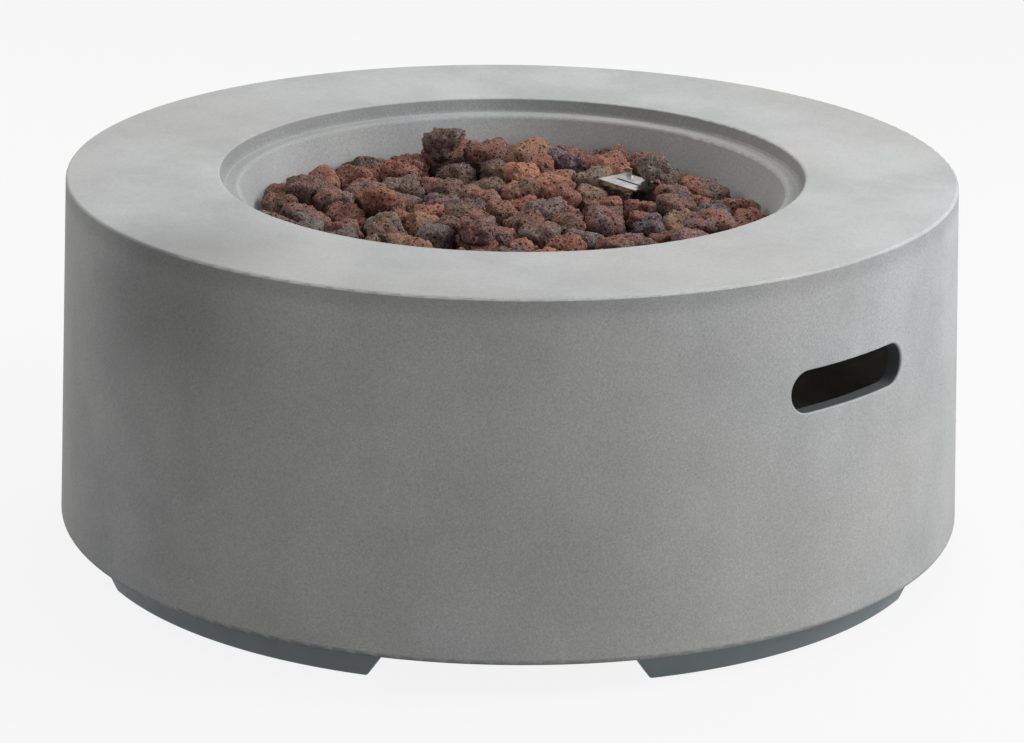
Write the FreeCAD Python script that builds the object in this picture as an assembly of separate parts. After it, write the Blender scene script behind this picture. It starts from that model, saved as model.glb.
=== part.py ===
import FreeCAD, Part
import math
import os
import random

# Round cast fire pit table. Millimetres, +Z up, origin on the floor under its centre.
# The hand-holds are on the X axis and the gas controls are on the +Y side.

# Cast shell
BASE_DIAMETER = 902.6
TOP_DIAMETER = 880.0
OVERALL_HEIGHT = 377.0
FOOT_HEIGHT = 28.7
WALL = 16.0
TOP_THICKNESS = 20.0
TOP_EDGE_ROUND = 2.7
BASE_EDGE_ROUND = 6.0
LIP_WIDTH = 56.0
LIP_HEIGHT = 30.0
LIP_SLOPE = 34.0

# Fire bowl, with a stepped recess round its mouth where a lid sits
OPENING_DIAMETER = 579.0
RECESS_DEPTH = 14.0
RECESS_DRAFT = 4.0
LEDGE_DIAMETER = 542.0
LEDGE_ROUND = 5.0
BOWL_DEPTH = 105.0
BOWL_FLOOR_DIAMETER = 476.0
BOWL_FLOOR_THICKNESS = 16.0
BOWL_CORNER_ROUND = 20.0
BOWL_HAUNCH = 10.0

# Hand-hold slots
HANDHOLD_LENGTH = 158.0
HANDHOLD_HEIGHT = 41.0
HANDHOLD_CENTRE = 234.3
HANDHOLD_EDGE_ROUND = 1.5

# Feet, two pairs of arcs
FOOT_ARC = 50.0
FOOT_AXIS = 44.4
FOOT_HALF_SPACING = 40.3
FOOT_SETBACK = 15.0
FOOT_WIDTH = 36.0
FOOT_DRAFT = 9.0
FOOT_EDGE_ROUND = 6.0
FOOT_END_SLANT = 35.0
FOOT_SCREW_SPREAD = 13.0
FOOT_SCREW_DIAMETER = 5.0
FOOT_SCREW_HEAD = 10.0
FOOT_SCREW_HEAD_HEIGHT = 4.0
FOOT_SCREW_GRIP = 20.0
FOOT_BORE_DIAMETER = 13.0
FOOT_BORE_DEPTH = 16.0

# Control panel, screwed to the flat back of a cast boss in the +Y wall
PANEL_HEIGHT_CENTRE = 200.0
PANEL_SETBACK = 34.0
PANEL_LENGTH = 224.0
PANEL_HEIGHT = 124.0
PANEL_THICKNESS = 1.5
PANEL_CORNER = 8.0
PANEL_OPENING_LENGTH = 180.0
PANEL_OPENING_HEIGHT = 90.0
PANEL_OPENING_CORNER = 14.0
PANEL_OPENING_DRAFT = 6.0
PANEL_SCREW_DIAMETER = 4.0
PANEL_SCREW_HEAD = 8.0
PANEL_SCREW_HEAD_HEIGHT = 2.6
PANEL_SCREW_GRIP = 12.0
BOSS_MARGIN = 8.0

# Gas valve, knob and bezel
KNOB_X = -42.0
VALVE_SIZE = 36.0
VALVE_DEPTH = 42.0
VALVE_CORNER = 4.0
VALVE_EAR_WIDTH = 12.0
VALVE_EAR_ROUND = 5.9
VALVE_PORT_DIAMETER = 20.0
VALVE_PORT_LENGTH = 8.0
ROTOR_DIAMETER = 14.0
ROTOR_LENGTH = 28.0
ROTOR_NECK_DIAMETER = 9.9
ROTOR_NECK_LENGTH = 8.0
ROTOR_STANDOUT = 0.5
STEM_DIAMETER = 6.0
STEM_FLAT = 2.0
STEM_GRIP = 14.0
KNOB_DIAMETER = 52.0
KNOB_SKIRT = 6.0
KNOB_HEIGHT = 24.0
KNOB_GRIP_WIDTH = 13.0
KNOB_GRIP_LENGTH = 44.0
KNOB_GRIP_CORNER = 5.0
KNOB_EDGE_ROUND = 2.5
KNOB_STANDOFF = 8.0
KNOB_TRAVEL = 3.0
BEZEL_DIAMETER = 64.0
BEZEL_HEIGHT = 4.2
BEZEL_THICKNESS = 1.2
BEZEL_HOLE = 20.0
VALVE_SCREW_SPACING = 40.0
VALVE_SCREW_DIAMETER = 4.0
VALVE_SCREW_HEAD = 7.0
VALVE_SCREW_HEAD_HEIGHT = 2.4
VALVE_SCREW_GRIP = 8.0
STEM_SPRING_DIAMETER = 12.0
SPRING_WIRE = 1.0
GAS_INLET_DIAMETER = 15.8
GAS_INLET_LENGTH = 16.0
INLET_SETBACK = 33.5
INLET_HEX_LENGTH = 6.0
INLET_NOSE_LENGTH = 4.0
INLET_PORT_DIAMETER = 18.0
GAS_BORE = 7.0
HEX_SIZE = 18.0

# Push-button igniter
IGNITER_X = 48.0
BARREL_DIAMETER = 20.0
BARREL_LENGTH = 62.0
BARREL_FLANGE = 28.0
BARREL_FLANGE_HEIGHT = 2.5
BUTTON_DIAMETER = 15.0
BUTTON_COLLAR = 17.0
BUTTON_COLLAR_HEIGHT = 4.0
BUTTON_HEIGHT = 9.0
BUTTON_TRAVEL = 5.0
BUTTON_SHOULDER = 4.0
BARREL_BORE_DEPTH = 40.0
BARREL_NUT_HEIGHT = 5.0
BOOT_LENGTH = 16.0
BOOT_DIAMETER = 12.0

# Burner
BURNER_CENTRE_HEIGHT = 35.0
BURNER_DIAMETER = 280.0
BURNER_TUBE = 19.0
BURNER_TUBE_WALL = 1.2
BURNER_PORTS = 24
BURNER_PORT_DIAMETER = 3.0
HUB_DIAMETER = 40.0
HUB_HEIGHT = 24.0
HUB_SOCKET = 8.0
HUB_TOP_THICKNESS = 4.0
MIXER_DIAMETER = 21.3
MIXER_BORE = 15.0
MIXER_WINDOW = 8.0
MIXER_BELOW_BOWL = 42.0
BOWL_HOLE = 24.0
RISER_DIAMETER = 34.0
WASHER_DIAMETER = 50.0
WASHER_THICKNESS = 3.0
LOCKNUT_SIZE = 36.0
LOCKNUT_HEIGHT = 10.0
ELBOW_SIZE = 26.0
ELBOW_HEIGHT = 20.0
ELBOW_COLLAR = 10.0
ELBOW_CORNER = 3.0
ELBOW_PORT_DIAMETER = 18.0
ELBOW_PORT_LENGTH = 13.0
ORIFICE = 2.0
GAS_TUBE_DIAMETER = 9.5
GAS_TUBE_WALL = 1.0
GAS_TUBE_BEND = 60.0
TUBE_NUT_HEIGHT = 14.0

# Pilot hood and what stands under it, beside the burner ring
PILOT_ANGLE = 6.0
HOOD_LENGTH = 58.0
HOOD_WIDTH = 38.0
HOOD_DEPTH_BELOW_RIM = 38.0
HOOD_SHEET = 1.5
HOOD_SLOT_LENGTH = 34.0
HOOD_SLOT_WIDTH = 3.2
HOOD_SLOT_OFFSET = 3.0
HOOD_CORNER = 2.5
HOOD_LIP_INSET = 4.0
HOOD_SHELF_REACH = 8.0
HOOD_LIP = 5.0
HOOD_LUG = 8.0
HOOD_LUG_INSET = 3.0
HOOD_LUG_HEIGHT = 6.4
HOOD_LEG_WIDTH = 36.0
HOOD_FOOT = 18.0
HOOD_SHELF_HEIGHT = 23.5
HOOD_OVER_RING = 12.0
HOOD_SCREW_SPACING = 20.0
HOOD_SCREW_DIAMETER = 4.0
HOOD_SCREW_HEAD = 8.0
HOOD_SCREW_HEAD_HEIGHT = 2.4
HOOD_SCREW_GRIP = 11.0
PILOT_SPACING = 16.0
CERAMIC_DIAMETER = 8.0
CERAMIC_ABOVE_SHELF = 16.0
CERAMIC_BELOW_SHELF = 11.0
COLLAR_OVERHANG = 1.5
COLLAR_HEIGHT = 3.0
ELECTRODE_DIAMETER = 2.4
ELECTRODE_RISE = 9.0
ELECTRODE_REACH = 14.0
THERMOCOUPLE_DIAMETER = 5.0
THERMOCOUPLE_ABOVE_SHELF = 28.0
GROMMET_HOLE = 24.0
GROMMET_FLANGE = 34.0
GROMMET_FLANGE_HEIGHT = 3.0

# Leads under the bowl
IGNITER_LEAD_DIAMETER = 4.0
THERMOCOUPLE_LEAD_DIAMETER = 2.6
LEAD_DROP = 13.0
LEAD_BEND = 10.0
CLIP_SIZE = 9.0
CLIP_LENGTH = 22.0
CLIP_SCREW_OFFSET = 8.125
CLIP_FLANGE = 3.0
CLIP_SCREW_DIAMETER = 3.5
CLIP_SCREW_GRIP = 9.0
CLIP_SCREW_HEAD = 7.0
CLIP_SCREW_HEAD_HEIGHT = 2.2
THERMOCOUPLE_NUT_HEIGHT = 12.0
THERMOCOUPLE_NUT_SIZE = 10.0

# Lava rocks
ROCK_SPACING = 43.0
ROCK_BED_DEPTH = 52.0
ROCK_UNEVEN = 6.0
LOWER_ROCK_SPACING = 56.0
LOWER_ROCK_HEIGHT = 19.0
ROCK_GAP = 0.3
ROCK_SHORTEST_EDGE = 1.0
ROCK_FACETS = 12
SAME_POINT = 0.00001
ROCK_FILL = 0.97
ROCK_SETTLING_TURNS = 24
ROCK_TRIES = 60
ROCK_RISE = 17.0
ROCK_LEAST_SIZE = 12.0
ROCK_SEED = 11
ROCK_RISER_ROOM = 6.0
# Rocks that lie on the bed: angle from -Y towards +X, radius, depth of the middle below
# the rim, largest half size
TOP_ROCKS = ((245.5, 202.0, 30.0, 26.0), (171.0, 180.0, 28.0, 15.0), (204.5, 225.0, 34.0, 26.0),
             (27.0, 113.0, 34.0, 26.0), (299.0, 215.0, 35.0, 26.0), (110.0, 206.0, 36.0, 26.0),
             (317.0, 134.0, 30.0, 18.0))

# Fits
RUNNING_CLEARANCE = 0.05
SLIP_CLEARANCE = 0.1
FACE_CLEARANCE = 0.3
SCREW_CLEARANCE = 0.25

VECTOR = FreeCAD.Vector
X_AXIS = VECTOR(1, 0, 0)
Y_AXIS = VECTOR(0, 1, 0)
Z_AXIS = VECTOR(0, 0, 1)
CENTRE = VECTOR(0, 0, 0)

RIM = OVERALL_HEIGHT
LEDGE_LEVEL = RIM - RECESS_DEPTH
BOWL_FLOOR = RIM - BOWL_DEPTH
BOWL_UNDERSIDE = BOWL_FLOOR - BOWL_FLOOR_THICKNESS
BURNER_LEVEL = BOWL_FLOOR + BURNER_CENTRE_HEIGHT
BURNER_RADIUS = BURNER_DIAMETER / 2
TUBE_RADIUS = BURNER_TUBE / 2
HUB_BOTTOM = BURNER_LEVEL - HUB_HEIGHT / 2
MIXER_BOTTOM = BOWL_UNDERSIDE - MIXER_BELOW_BOWL
HOOD_TOP = RIM - HOOD_DEPTH_BELOW_RIM
HOOD_INNER = BURNER_RADIUS + TUBE_RADIUS - HOOD_OVER_RING
HOOD_OUTER = HOOD_INNER + HOOD_WIDTH
PILOT_RADIUS = (BURNER_RADIUS + TUBE_RADIUS + HOOD_OUTER) / 2
SHELF_LEVEL = BOWL_FLOOR + HOOD_SHELF_HEIGHT
LEAD_LEVEL = BOWL_UNDERSIDE - LEAD_DROP


def outer_radius(height):
    """Radius of the tapered outside at a height above the floor."""
    share = (height - FOOT_HEIGHT) / (RIM - FOOT_HEIGHT)
    return (BASE_DIAMETER + (TOP_DIAMETER - BASE_DIAMETER) * share) / 2


def bowl_radius(height):
    """Radius of the bowl's sloped inner wall at a height above the floor."""
    share = (height - BOWL_FLOOR) / (LEDGE_LEVEL - BOWL_FLOOR)
    return (BOWL_FLOOR_DIAMETER + (LEDGE_DIAMETER - BOWL_FLOOR_DIAMETER) * share) / 2


PANEL_Y = outer_radius(PANEL_HEIGHT_CENTRE) - PANEL_SETBACK


def cylinder(diameter, bottom, top, x=0.0, y=0.0):
    """Upright cylinder between two heights."""
    return Part.makeCylinder(diameter / 2, top - bottom, VECTOR(x, y, bottom), Z_AXIS)


def box(x_range, y_range, z_range):
    """Box between three pairs of limits."""
    size = [limits[1] - limits[0] for limits in (x_range, y_range, z_range)]
    return Part.makeBox(size[0], size[1], size[2], VECTOR(x_range[0], y_range[0], z_range[0]))


def hexagon(size, bottom, top, bore=0.0):
    """Upright hexagonal nut of a given width across flats."""
    corner = size / math.sqrt(3)
    points = [VECTOR(corner * math.cos(i * math.pi / 3), corner * math.sin(i * math.pi / 3), bottom)
              for i in range(7)]
    nut = Part.Face(Part.makePolygon(points)).extrude(VECTOR(0, 0, top - bottom))
    if bore:
        nut = nut.cut(cylinder(bore, bottom - 1, top + 1))
    return nut


def rounded_outline(corners, place):
    """Closed wire through corners (a, b, radius), each rounded by an arc. place maps (a, b) to a point."""
    starts, middles, ends = [], [], []
    count = len(corners)
    for i, (a, b, radius) in enumerate(corners):
        before = corners[i - 1]
        after = corners[(i + 1) % count]
        here = VECTOR(a, b, 0)
        back = VECTOR(before[0] - a, before[1] - b, 0).normalize()
        forward = VECTOR(after[0] - a, after[1] - b, 0).normalize()
        half = back.getAngle(forward) / 2
        reach = radius / math.tan(half)
        towards = (back + forward).normalize()
        starts.append(here + back * reach)
        ends.append(here + forward * reach)
        middles.append(here + towards * (radius / math.sin(half) - radius))
    edges = []
    for i in range(count):
        start = place(starts[i].x, starts[i].y)
        end = place(ends[i].x, ends[i].y)
        if corners[i][2] > 0:
            middle = place(middles[i].x, middles[i].y)
            edges.append(Part.Arc(start, middle, end).toShape())
        following = place(starts[(i + 1) % count].x, starts[(i + 1) % count].y)
        if end.distanceToPoint(following) > 0.001:
            edges.append(Part.LineSegment(end, following).toShape())
    return Part.Wire(edges)


def turned(corners, angle=360.0):
    """Solid of revolution about Z from corners (radius, height, rounding)."""
    wire = rounded_outline(corners, lambda r, z: VECTOR(r, 0, z))
    return Part.Face(wire).revolve(CENTRE, Z_AXIS, angle)


def rounded_plate(length, height, corner, low, high):
    """Rounded rectangle in the XY plane, extruded between two levels."""
    a = length / 2
    b = height / 2
    outline = [(-a, -b, corner), (a, -b, corner), (a, b, corner), (-a, b, corner)]
    wire = rounded_outline(outline, lambda x, y: VECTOR(x, y, low))
    return Part.Face(wire).extrude(VECTOR(0, 0, high - low))


def moved(shape, x=0.0, y=0.0, z=0.0, axis=Z_AXIS, angle=0.0):
    """Copy of a shape, turned about an axis through the origin and then shifted."""
    copy = shape.copy()
    copy.Placement = FreeCAD.Placement(VECTOR(x, y, z), FreeCAD.Rotation(axis, angle)) * copy.Placement
    return copy


def on_panel(shape, x=0.0):
    """Place a shape made along +Z so that it points out of the control panel's face."""
    return moved(shape, x, PANEL_Y, PANEL_HEIGHT_CENTRE, X_AXIS, -90)


def at_pilot(shape):
    """Turn a shape made on the +Y side of the burner to the pilot's place."""
    return moved(shape, axis=Z_AXIS, angle=-PILOT_ANGLE)


def pilot_point(x, y, z):
    """The same turn for one point."""
    return FreeCAD.Rotation(Z_AXIS, -PILOT_ANGLE).multVec(VECTOR(x, y, z))


def bent_path(points, bend):
    """Straight runs joined by tangent arcs. A bend is drawn tighter where its runs are short."""
    edges = []
    start = points[0]
    for i in range(1, len(points) - 1):
        corner = points[i]
        back = (points[i - 1] - corner)
        forward = (points[i + 1] - corner)
        room = 0.45 * min(back.Length, forward.Length)
        back.normalize()
        forward.normalize()
        half = back.getAngle(forward) / 2
        reach = min(bend / math.tan(half), room)
        radius = reach * math.tan(half)
        middle = corner + (back + forward).normalize() * (radius / math.sin(half) - radius)
        edges.append(Part.LineSegment(start, corner + back * reach).toShape())
        edges.append(Part.Arc(corner + back * reach, middle, corner + forward * reach).toShape())
        start = corner + forward * reach
    edges.append(Part.LineSegment(start, points[-1]).toShape())
    return Part.Wire(edges)


def tube(points, diameter, bend, bore=0.0):
    """Round tube, rod or lead along a bent path."""
    path = bent_path(points, bend)
    solid = swept(path, points, diameter)
    if bore:
        solid = solid.cut(swept(path, points, bore))
    return solid


def swept(path, points, diameter):
    """Solid round section along a path."""
    ring = Part.Wire(Part.makeCircle(diameter / 2, points[0], points[1] - points[0]))
    return path.makePipeShell([ring], True, False)


def handhold_cutter(side):
    """Full-round slot that goes through the wall on the +X or -X side."""
    height = FOOT_HEIGHT + HANDHOLD_CENTRE
    outside = outer_radius(height)
    a = HANDHOLD_LENGTH / 2
    b = HANDHOLD_HEIGHT / 2
    outline = [(-a, height - b, b), (a, height - b, b), (a, height + b, b), (-a, height + b, b)]
    inside = (outside - 3 * WALL) * side
    wire = rounded_outline(outline, lambda y, z: VECTOR(inside, y, z))
    return Part.Face(wire).extrude(VECTOR(side * 4 * WALL, 0, 0))


def panel_opening_cutter():
    """Drafted window through the wall in front of the control panel."""
    depth = PANEL_SETBACK + WALL
    wires = []
    for y, grow in ((0.0, 0.0), (depth, PANEL_OPENING_DRAFT * depth / PANEL_SETBACK)):
        a = PANEL_OPENING_LENGTH / 2 + grow
        b = PANEL_OPENING_HEIGHT / 2 + grow
        corner = PANEL_OPENING_CORNER + grow
        outline = [(-a, -b, corner), (a, -b, corner), (a, b, corner), (-a, b, corner)]
        wires.append(rounded_outline(
            outline, lambda x, z: VECTOR(x, PANEL_Y + y, PANEL_HEIGHT_CENTRE + z)))
    return Part.makeLoft(wires, True, True)


def panel_boss(outside):
    """Cast block behind the +Y wall, with a flat back for the control panel."""
    block = rounded_plate(
        PANEL_LENGTH + 2 * BOSS_MARGIN, PANEL_HEIGHT + 2 * BOSS_MARGIN, 2 * PANEL_CORNER, 0, PANEL_SETBACK)
    return on_panel(block).common(outside)


def panel_seat_cutter():
    """Room for the panel behind the boss, where a wall with more slope would reach into it."""
    length = PANEL_LENGTH + 2 * FACE_CLEARANCE
    height = PANEL_HEIGHT + 2 * FACE_CLEARANCE
    return on_panel(rounded_plate(length, height, PANEL_CORNER, -PANEL_SETBACK, 0))


def panel_screw_places():
    """Where the four panel screws stand, from the panel's centre."""
    x = (PANEL_LENGTH + PANEL_OPENING_LENGTH) / 4
    y = (PANEL_HEIGHT + PANEL_OPENING_HEIGHT) / 4
    return [(-x, -y), (x, -y), (x, y), (-x, y)]


def make_shell():
    """One casting: top ring, recess, bowl, tapered wall and thick lip for the feet."""
    inner_top = outer_radius(RIM - TOP_THICKNESS) - WALL
    slope_top = FOOT_HEIGHT + LIP_HEIGHT + LIP_SLOPE
    lip_inner = BASE_DIAMETER / 2 - LIP_WIDTH
    opening = OPENING_DIAMETER / 2
    bowl_outer = BOWL_FLOOR_DIAMETER / 2 + BOWL_FLOOR_THICKNESS / 2
    profile = [
        (BASE_DIAMETER / 2, FOOT_HEIGHT, BASE_EDGE_ROUND),
        (TOP_DIAMETER / 2, RIM, TOP_EDGE_ROUND),
        (opening, RIM, TOP_EDGE_ROUND),
        (opening - RECESS_DRAFT, LEDGE_LEVEL, RECESS_DRAFT),
        (LEDGE_DIAMETER / 2, LEDGE_LEVEL, LEDGE_ROUND),
        (BOWL_FLOOR_DIAMETER / 2, BOWL_FLOOR, BOWL_CORNER_ROUND),
        (BOWL_HOLE / 2, BOWL_FLOOR, 0),
        (BOWL_HOLE / 2, BOWL_UNDERSIDE, 0),
        (bowl_outer, BOWL_UNDERSIDE, BOWL_CORNER_ROUND),
        (opening + BOWL_HAUNCH, RIM - TOP_THICKNESS, 0.8 * TOP_THICKNESS),
        (inner_top, RIM - TOP_THICKNESS, TOP_THICKNESS),
        (outer_radius(slope_top) - WALL, slope_top, WALL),
        (lip_inner, FOOT_HEIGHT + LIP_HEIGHT, BASE_EDGE_ROUND),
        (lip_inner, FOOT_HEIGHT, BASE_EDGE_ROUND / 2),
    ]
    outside = turned([
        (0, FOOT_HEIGHT, 0),
        (outer_radius(FOOT_HEIGHT) - WALL / 2, FOOT_HEIGHT, 0),
        (outer_radius(RIM) - WALL / 2, RIM, 0),
        (0, RIM, 0),
    ])
    shell = turned(profile).fuse(panel_boss(outside)).removeSplitter()
    shell = shell.cut(panel_seat_cutter()).cut(panel_opening_cutter())
    for side in (1, -1):
        shell = shell.cut(handhold_cutter(side))
    shell = soften_handholds(shell)
    return shell.cut(Part.makeCompound(shell_holes()))


def soften_handholds(shell):
    """Small round on the outer edge of both hand-holds."""
    height = FOOT_HEIGHT + HANDHOLD_CENTRE
    reach = HANDHOLD_LENGTH / 2 + 1
    edges = []
    for edge in shell.Edges:
        limits = edge.BoundBox
        is_low = limits.ZLength < HANDHOLD_HEIGHT + 1
        in_height = is_low and abs(limits.Center.z - height) < HANDHOLD_HEIGHT / 2 + 1
        in_width = max(abs(limits.YMin), abs(limits.YMax)) < reach
        middle = edge.valueAt((edge.FirstParameter + edge.LastParameter) / 2)
        on_outside = abs(math.hypot(middle.x, middle.y) - outer_radius(middle.z)) < 0.1
        if in_height and in_width and on_outside:
            edges.append(edge)
    return shell.makeFillet(HANDHOLD_EDGE_ROUND, edges)


def foot_angles():
    """Turn of each foot's middle from the -Y direction towards +X."""
    first = [FOOT_AXIS - FOOT_HALF_SPACING, FOOT_AXIS + FOOT_HALF_SPACING]
    return first + [angle + 180 for angle in first]


def foot_radius():
    """Radius of the feet's middle line."""
    return BASE_DIAMETER / 2 - FOOT_SETBACK - FOOT_WIDTH / 2


def foot_screw_places():
    """Centres of the two screws of each foot."""
    places = []
    for middle in foot_angles():
        for side in (-1, 1):
            angle = math.radians(middle + side * FOOT_SCREW_SPREAD)
            places.append((foot_radius() * math.sin(angle), -foot_radius() * math.cos(angle)))
    return places


def clip_middles():
    """Middle and direction of the stretch of each lead that its clip holds."""
    return [(low + (high - low) * 0.5, high - low) for low, high in
            ((igniter_lead_route()[2], igniter_lead_route()[3]),
             (thermocouple_lead_route()[2], thermocouple_lead_route()[3]))]


def shell_holes():
    """Holes for the fasteners and for the grommet."""
    holes = []
    for x, y in foot_screw_places():
        depth = FOOT_SCREW_GRIP + FACE_CLEARANCE
        hole = FOOT_SCREW_DIAMETER + 2 * SLIP_CLEARANCE
        holes.append(cylinder(hole, FOOT_HEIGHT, FOOT_HEIGHT + depth, x, y))
    for x, y in panel_screw_places():
        depth = PANEL_SCREW_GRIP + FACE_CLEARANCE
        holes.append(on_panel(cylinder(PANEL_SCREW_DIAMETER + 2 * SLIP_CLEARANCE, 0, depth, x, y)))
    holes.append(at_pilot(cylinder(GROMMET_HOLE, BOWL_UNDERSIDE - 1, BOWL_FLOOR + 1, 0, PILOT_RADIUS)))
    for x, y in hood_screw_places():
        depth = HOOD_SCREW_GRIP + FACE_CLEARANCE
        holes.append(at_pilot(
            cylinder(HOOD_SCREW_DIAMETER + 2 * SLIP_CLEARANCE, BOWL_FLOOR - depth, BOWL_FLOOR + 1, x, y)))
    for middle, direction in clip_middles():
        depth = CLIP_SCREW_GRIP + FACE_CLEARANCE
        spot = clip_screw_place(middle, direction)
        hole = CLIP_SCREW_DIAMETER + 2 * SLIP_CLEARANCE
        holes.append(cylinder(hole, BOWL_UNDERSIDE - 1, BOWL_UNDERSIDE + depth, spot.x, spot.y))
    return holes


def make_foot(middle):
    """Arc-shaped pad with drafted sides, slanted ends and two counterbored screw holes."""
    outer = BASE_DIAMETER / 2 - FOOT_SETBACK
    inner = outer - FOOT_WIDTH
    profile = [
        (inner, FOOT_HEIGHT, 0),
        (inner + FOOT_DRAFT / 2, 0, FOOT_EDGE_ROUND),
        (outer - FOOT_DRAFT, 0, FOOT_EDGE_ROUND),
        (outer, FOOT_HEIGHT, 0),
    ]
    foot = moved(turned(profile, FOOT_ARC), axis=Z_AXIS, angle=-FOOT_ARC / 2)
    slant = FOOT_HEIGHT * math.tan(math.radians(FOOT_END_SLANT))
    for side in (-1, 1):
        corners = [(0, FOOT_HEIGHT), (-slant, 0), (-slant, -1), (1, -1), (1, FOOT_HEIGHT), (0, FOOT_HEIGHT)]
        points = [VECTOR(inner - 20, side * a, z) for a, z in corners]
        wedge = Part.Face(Part.makePolygon(points)).extrude(VECTOR(FOOT_WIDTH + 40, 0, 0))
        foot = foot.cut(moved(wedge, axis=Z_AXIS, angle=side * FOOT_ARC / 2))
    foot = round_foot_ends(foot)
    foot = moved(foot, axis=Z_AXIS, angle=middle - 90)
    for x, y in foot_screw_places():
        if foot.BoundBox.isInside(VECTOR(x, y, FOOT_HEIGHT / 2)):
            foot = foot.cut(cylinder(FOOT_SCREW_DIAMETER + 2 * SCREW_CLEARANCE, -1, FOOT_HEIGHT + 1, x, y))
            foot = foot.cut(cylinder(FOOT_BORE_DIAMETER, -1, FOOT_BORE_DEPTH, x, y))
    return foot


def round_foot_ends(foot):
    """Round the bottom edge of each slanted end."""
    edges = []
    for edge in foot.Edges:
        limits = edge.BoundBox
        radial = limits.XLength > FOOT_WIDTH / 5 and limits.YLength < FOOT_WIDTH / 2
        if radial and limits.ZMax < 0.1:
            edges.append(edge)
    return foot.makeFillet(FOOT_EDGE_ROUND * 0.6, edges)


def pan_screw(diameter, head, head_height, grip):
    """Screw along +Z: the head ends at level 0 and the shank stands above it."""
    shank = cylinder(diameter, 0, grip)
    chamfer = head_height * 0.4
    cap = turned([(0, -head_height, 0), (head / 2 - chamfer, -head_height, 0),
                  (head / 2, chamfer - head_height, 0), (head / 2, 0, 0), (0, 0, 0)])
    return cap.fuse(shank)


def make_foot_screws():
    """Two screws for each foot, driven up into the casting."""
    grip = FOOT_HEIGHT - FOOT_BORE_DEPTH + FOOT_SCREW_GRIP
    screw = pan_screw(FOOT_SCREW_DIAMETER, FOOT_SCREW_HEAD, FOOT_SCREW_HEAD_HEIGHT, grip)
    return Part.makeCompound([moved(screw, x, y, FOOT_BORE_DEPTH) for x, y in foot_screw_places()])


def make_control_panel():
    """Steel plate behind the window, with holes for the valve, the igniter and the screws."""
    plate = rounded_plate(PANEL_LENGTH, PANEL_HEIGHT, PANEL_CORNER, -PANEL_THICKNESS, 0)
    holes = [cylinder(ROTOR_NECK_DIAMETER + 2, -PANEL_THICKNESS - 1, 1, KNOB_X),
             cylinder(BARREL_DIAMETER + 2 * SLIP_CLEARANCE, -PANEL_THICKNESS - 1, 1, IGNITER_X)]
    for x, y in panel_screw_places():
        holes.append(cylinder(PANEL_SCREW_DIAMETER + 2 * SCREW_CLEARANCE, -PANEL_THICKNESS - 1, 1, x, y))
    for side in (-1, 1):
        x = KNOB_X + side * VALVE_SCREW_SPACING / 2
        holes.append(cylinder(VALVE_SCREW_DIAMETER + 2 * SCREW_CLEARANCE, -PANEL_THICKNESS - 1, 1, x))
    return on_panel(plate.cut(Part.makeCompound(holes)))


def make_panel_screws():
    """Four screws from behind the plate into the boss."""
    screw = pan_screw(PANEL_SCREW_DIAMETER, PANEL_SCREW_HEAD, PANEL_SCREW_HEAD_HEIGHT,
                      PANEL_THICKNESS + PANEL_SCREW_GRIP)
    screws = [on_panel(moved(screw, x, y, -PANEL_THICKNESS)) for x, y in panel_screw_places()]
    return Part.makeCompound(screws)


def rotor_levels():
    """Back, shoulder and front of the rotor, along the panel's outward direction."""
    shoulder = -PANEL_THICKNESS - ROTOR_NECK_LENGTH
    return shoulder - ROTOR_LENGTH, shoulder, ROTOR_STANDOUT - PANEL_THICKNESS


def d_section(diameter, flat, low, high):
    """Round rod with one flat along it."""
    rod = cylinder(diameter, low, high)
    return rod.cut(box((flat, diameter), (-diameter, diameter), (low - 1, high + 1)))


def make_valve_body():
    """Brass block with the rotor's chamber, a port below and a port behind."""
    back = -PANEL_THICKNESS - VALVE_DEPTH
    front = -PANEL_THICKNESS
    body = rounded_plate(VALVE_SIZE, VALVE_SIZE, VALVE_CORNER, back, front)
    ear = rounded_plate(VALVE_SCREW_SPACING + VALVE_EAR_WIDTH, VALVE_EAR_WIDTH, VALVE_EAR_ROUND,
                        front - VALVE_SCREW_GRIP - 1, front)
    body = body.fuse(ear)
    rear_port = cylinder(VALVE_PORT_DIAMETER, back - VALVE_PORT_LENGTH, back)
    low_port = Part.makeCylinder(
        INLET_PORT_DIAMETER / 2, VALVE_PORT_LENGTH, VECTOR(0, VALVE_SIZE / 2, -INLET_SETBACK), Y_AXIS)
    body = body.fuse([rear_port, low_port]).removeSplitter()
    rotor_back, shoulder, rotor_front = rotor_levels()
    chamber = cylinder(ROTOR_DIAMETER + 2 * RUNNING_CLEARANCE, rotor_back - FACE_CLEARANCE,
                       shoulder + FACE_CLEARANCE)
    neck = cylinder(ROTOR_NECK_DIAMETER + 2 * RUNNING_CLEARANCE, shoulder - 1, front + 1)
    rear_bore = cylinder(GAS_BORE, back - VALVE_PORT_LENGTH - 1, rotor_back)
    low_start = VECTOR(0, ROTOR_DIAMETER / 4, -INLET_SETBACK)
    low_bore = Part.makeCylinder(GAS_BORE / 2, VALVE_SIZE / 2 + VALVE_PORT_LENGTH, low_start, Y_AXIS)
    holes = [chamber, neck, rear_bore, low_bore]
    for side in (-1, 1):
        depth = VALVE_SCREW_GRIP + FACE_CLEARANCE
        holes.append(cylinder(VALVE_SCREW_DIAMETER + 2 * SLIP_CLEARANCE, front - depth, front + 1,
                              side * VALVE_SCREW_SPACING / 2))
    for hole in holes:
        body = body.cut(hole)
    return on_panel(body, KNOB_X)


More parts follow.
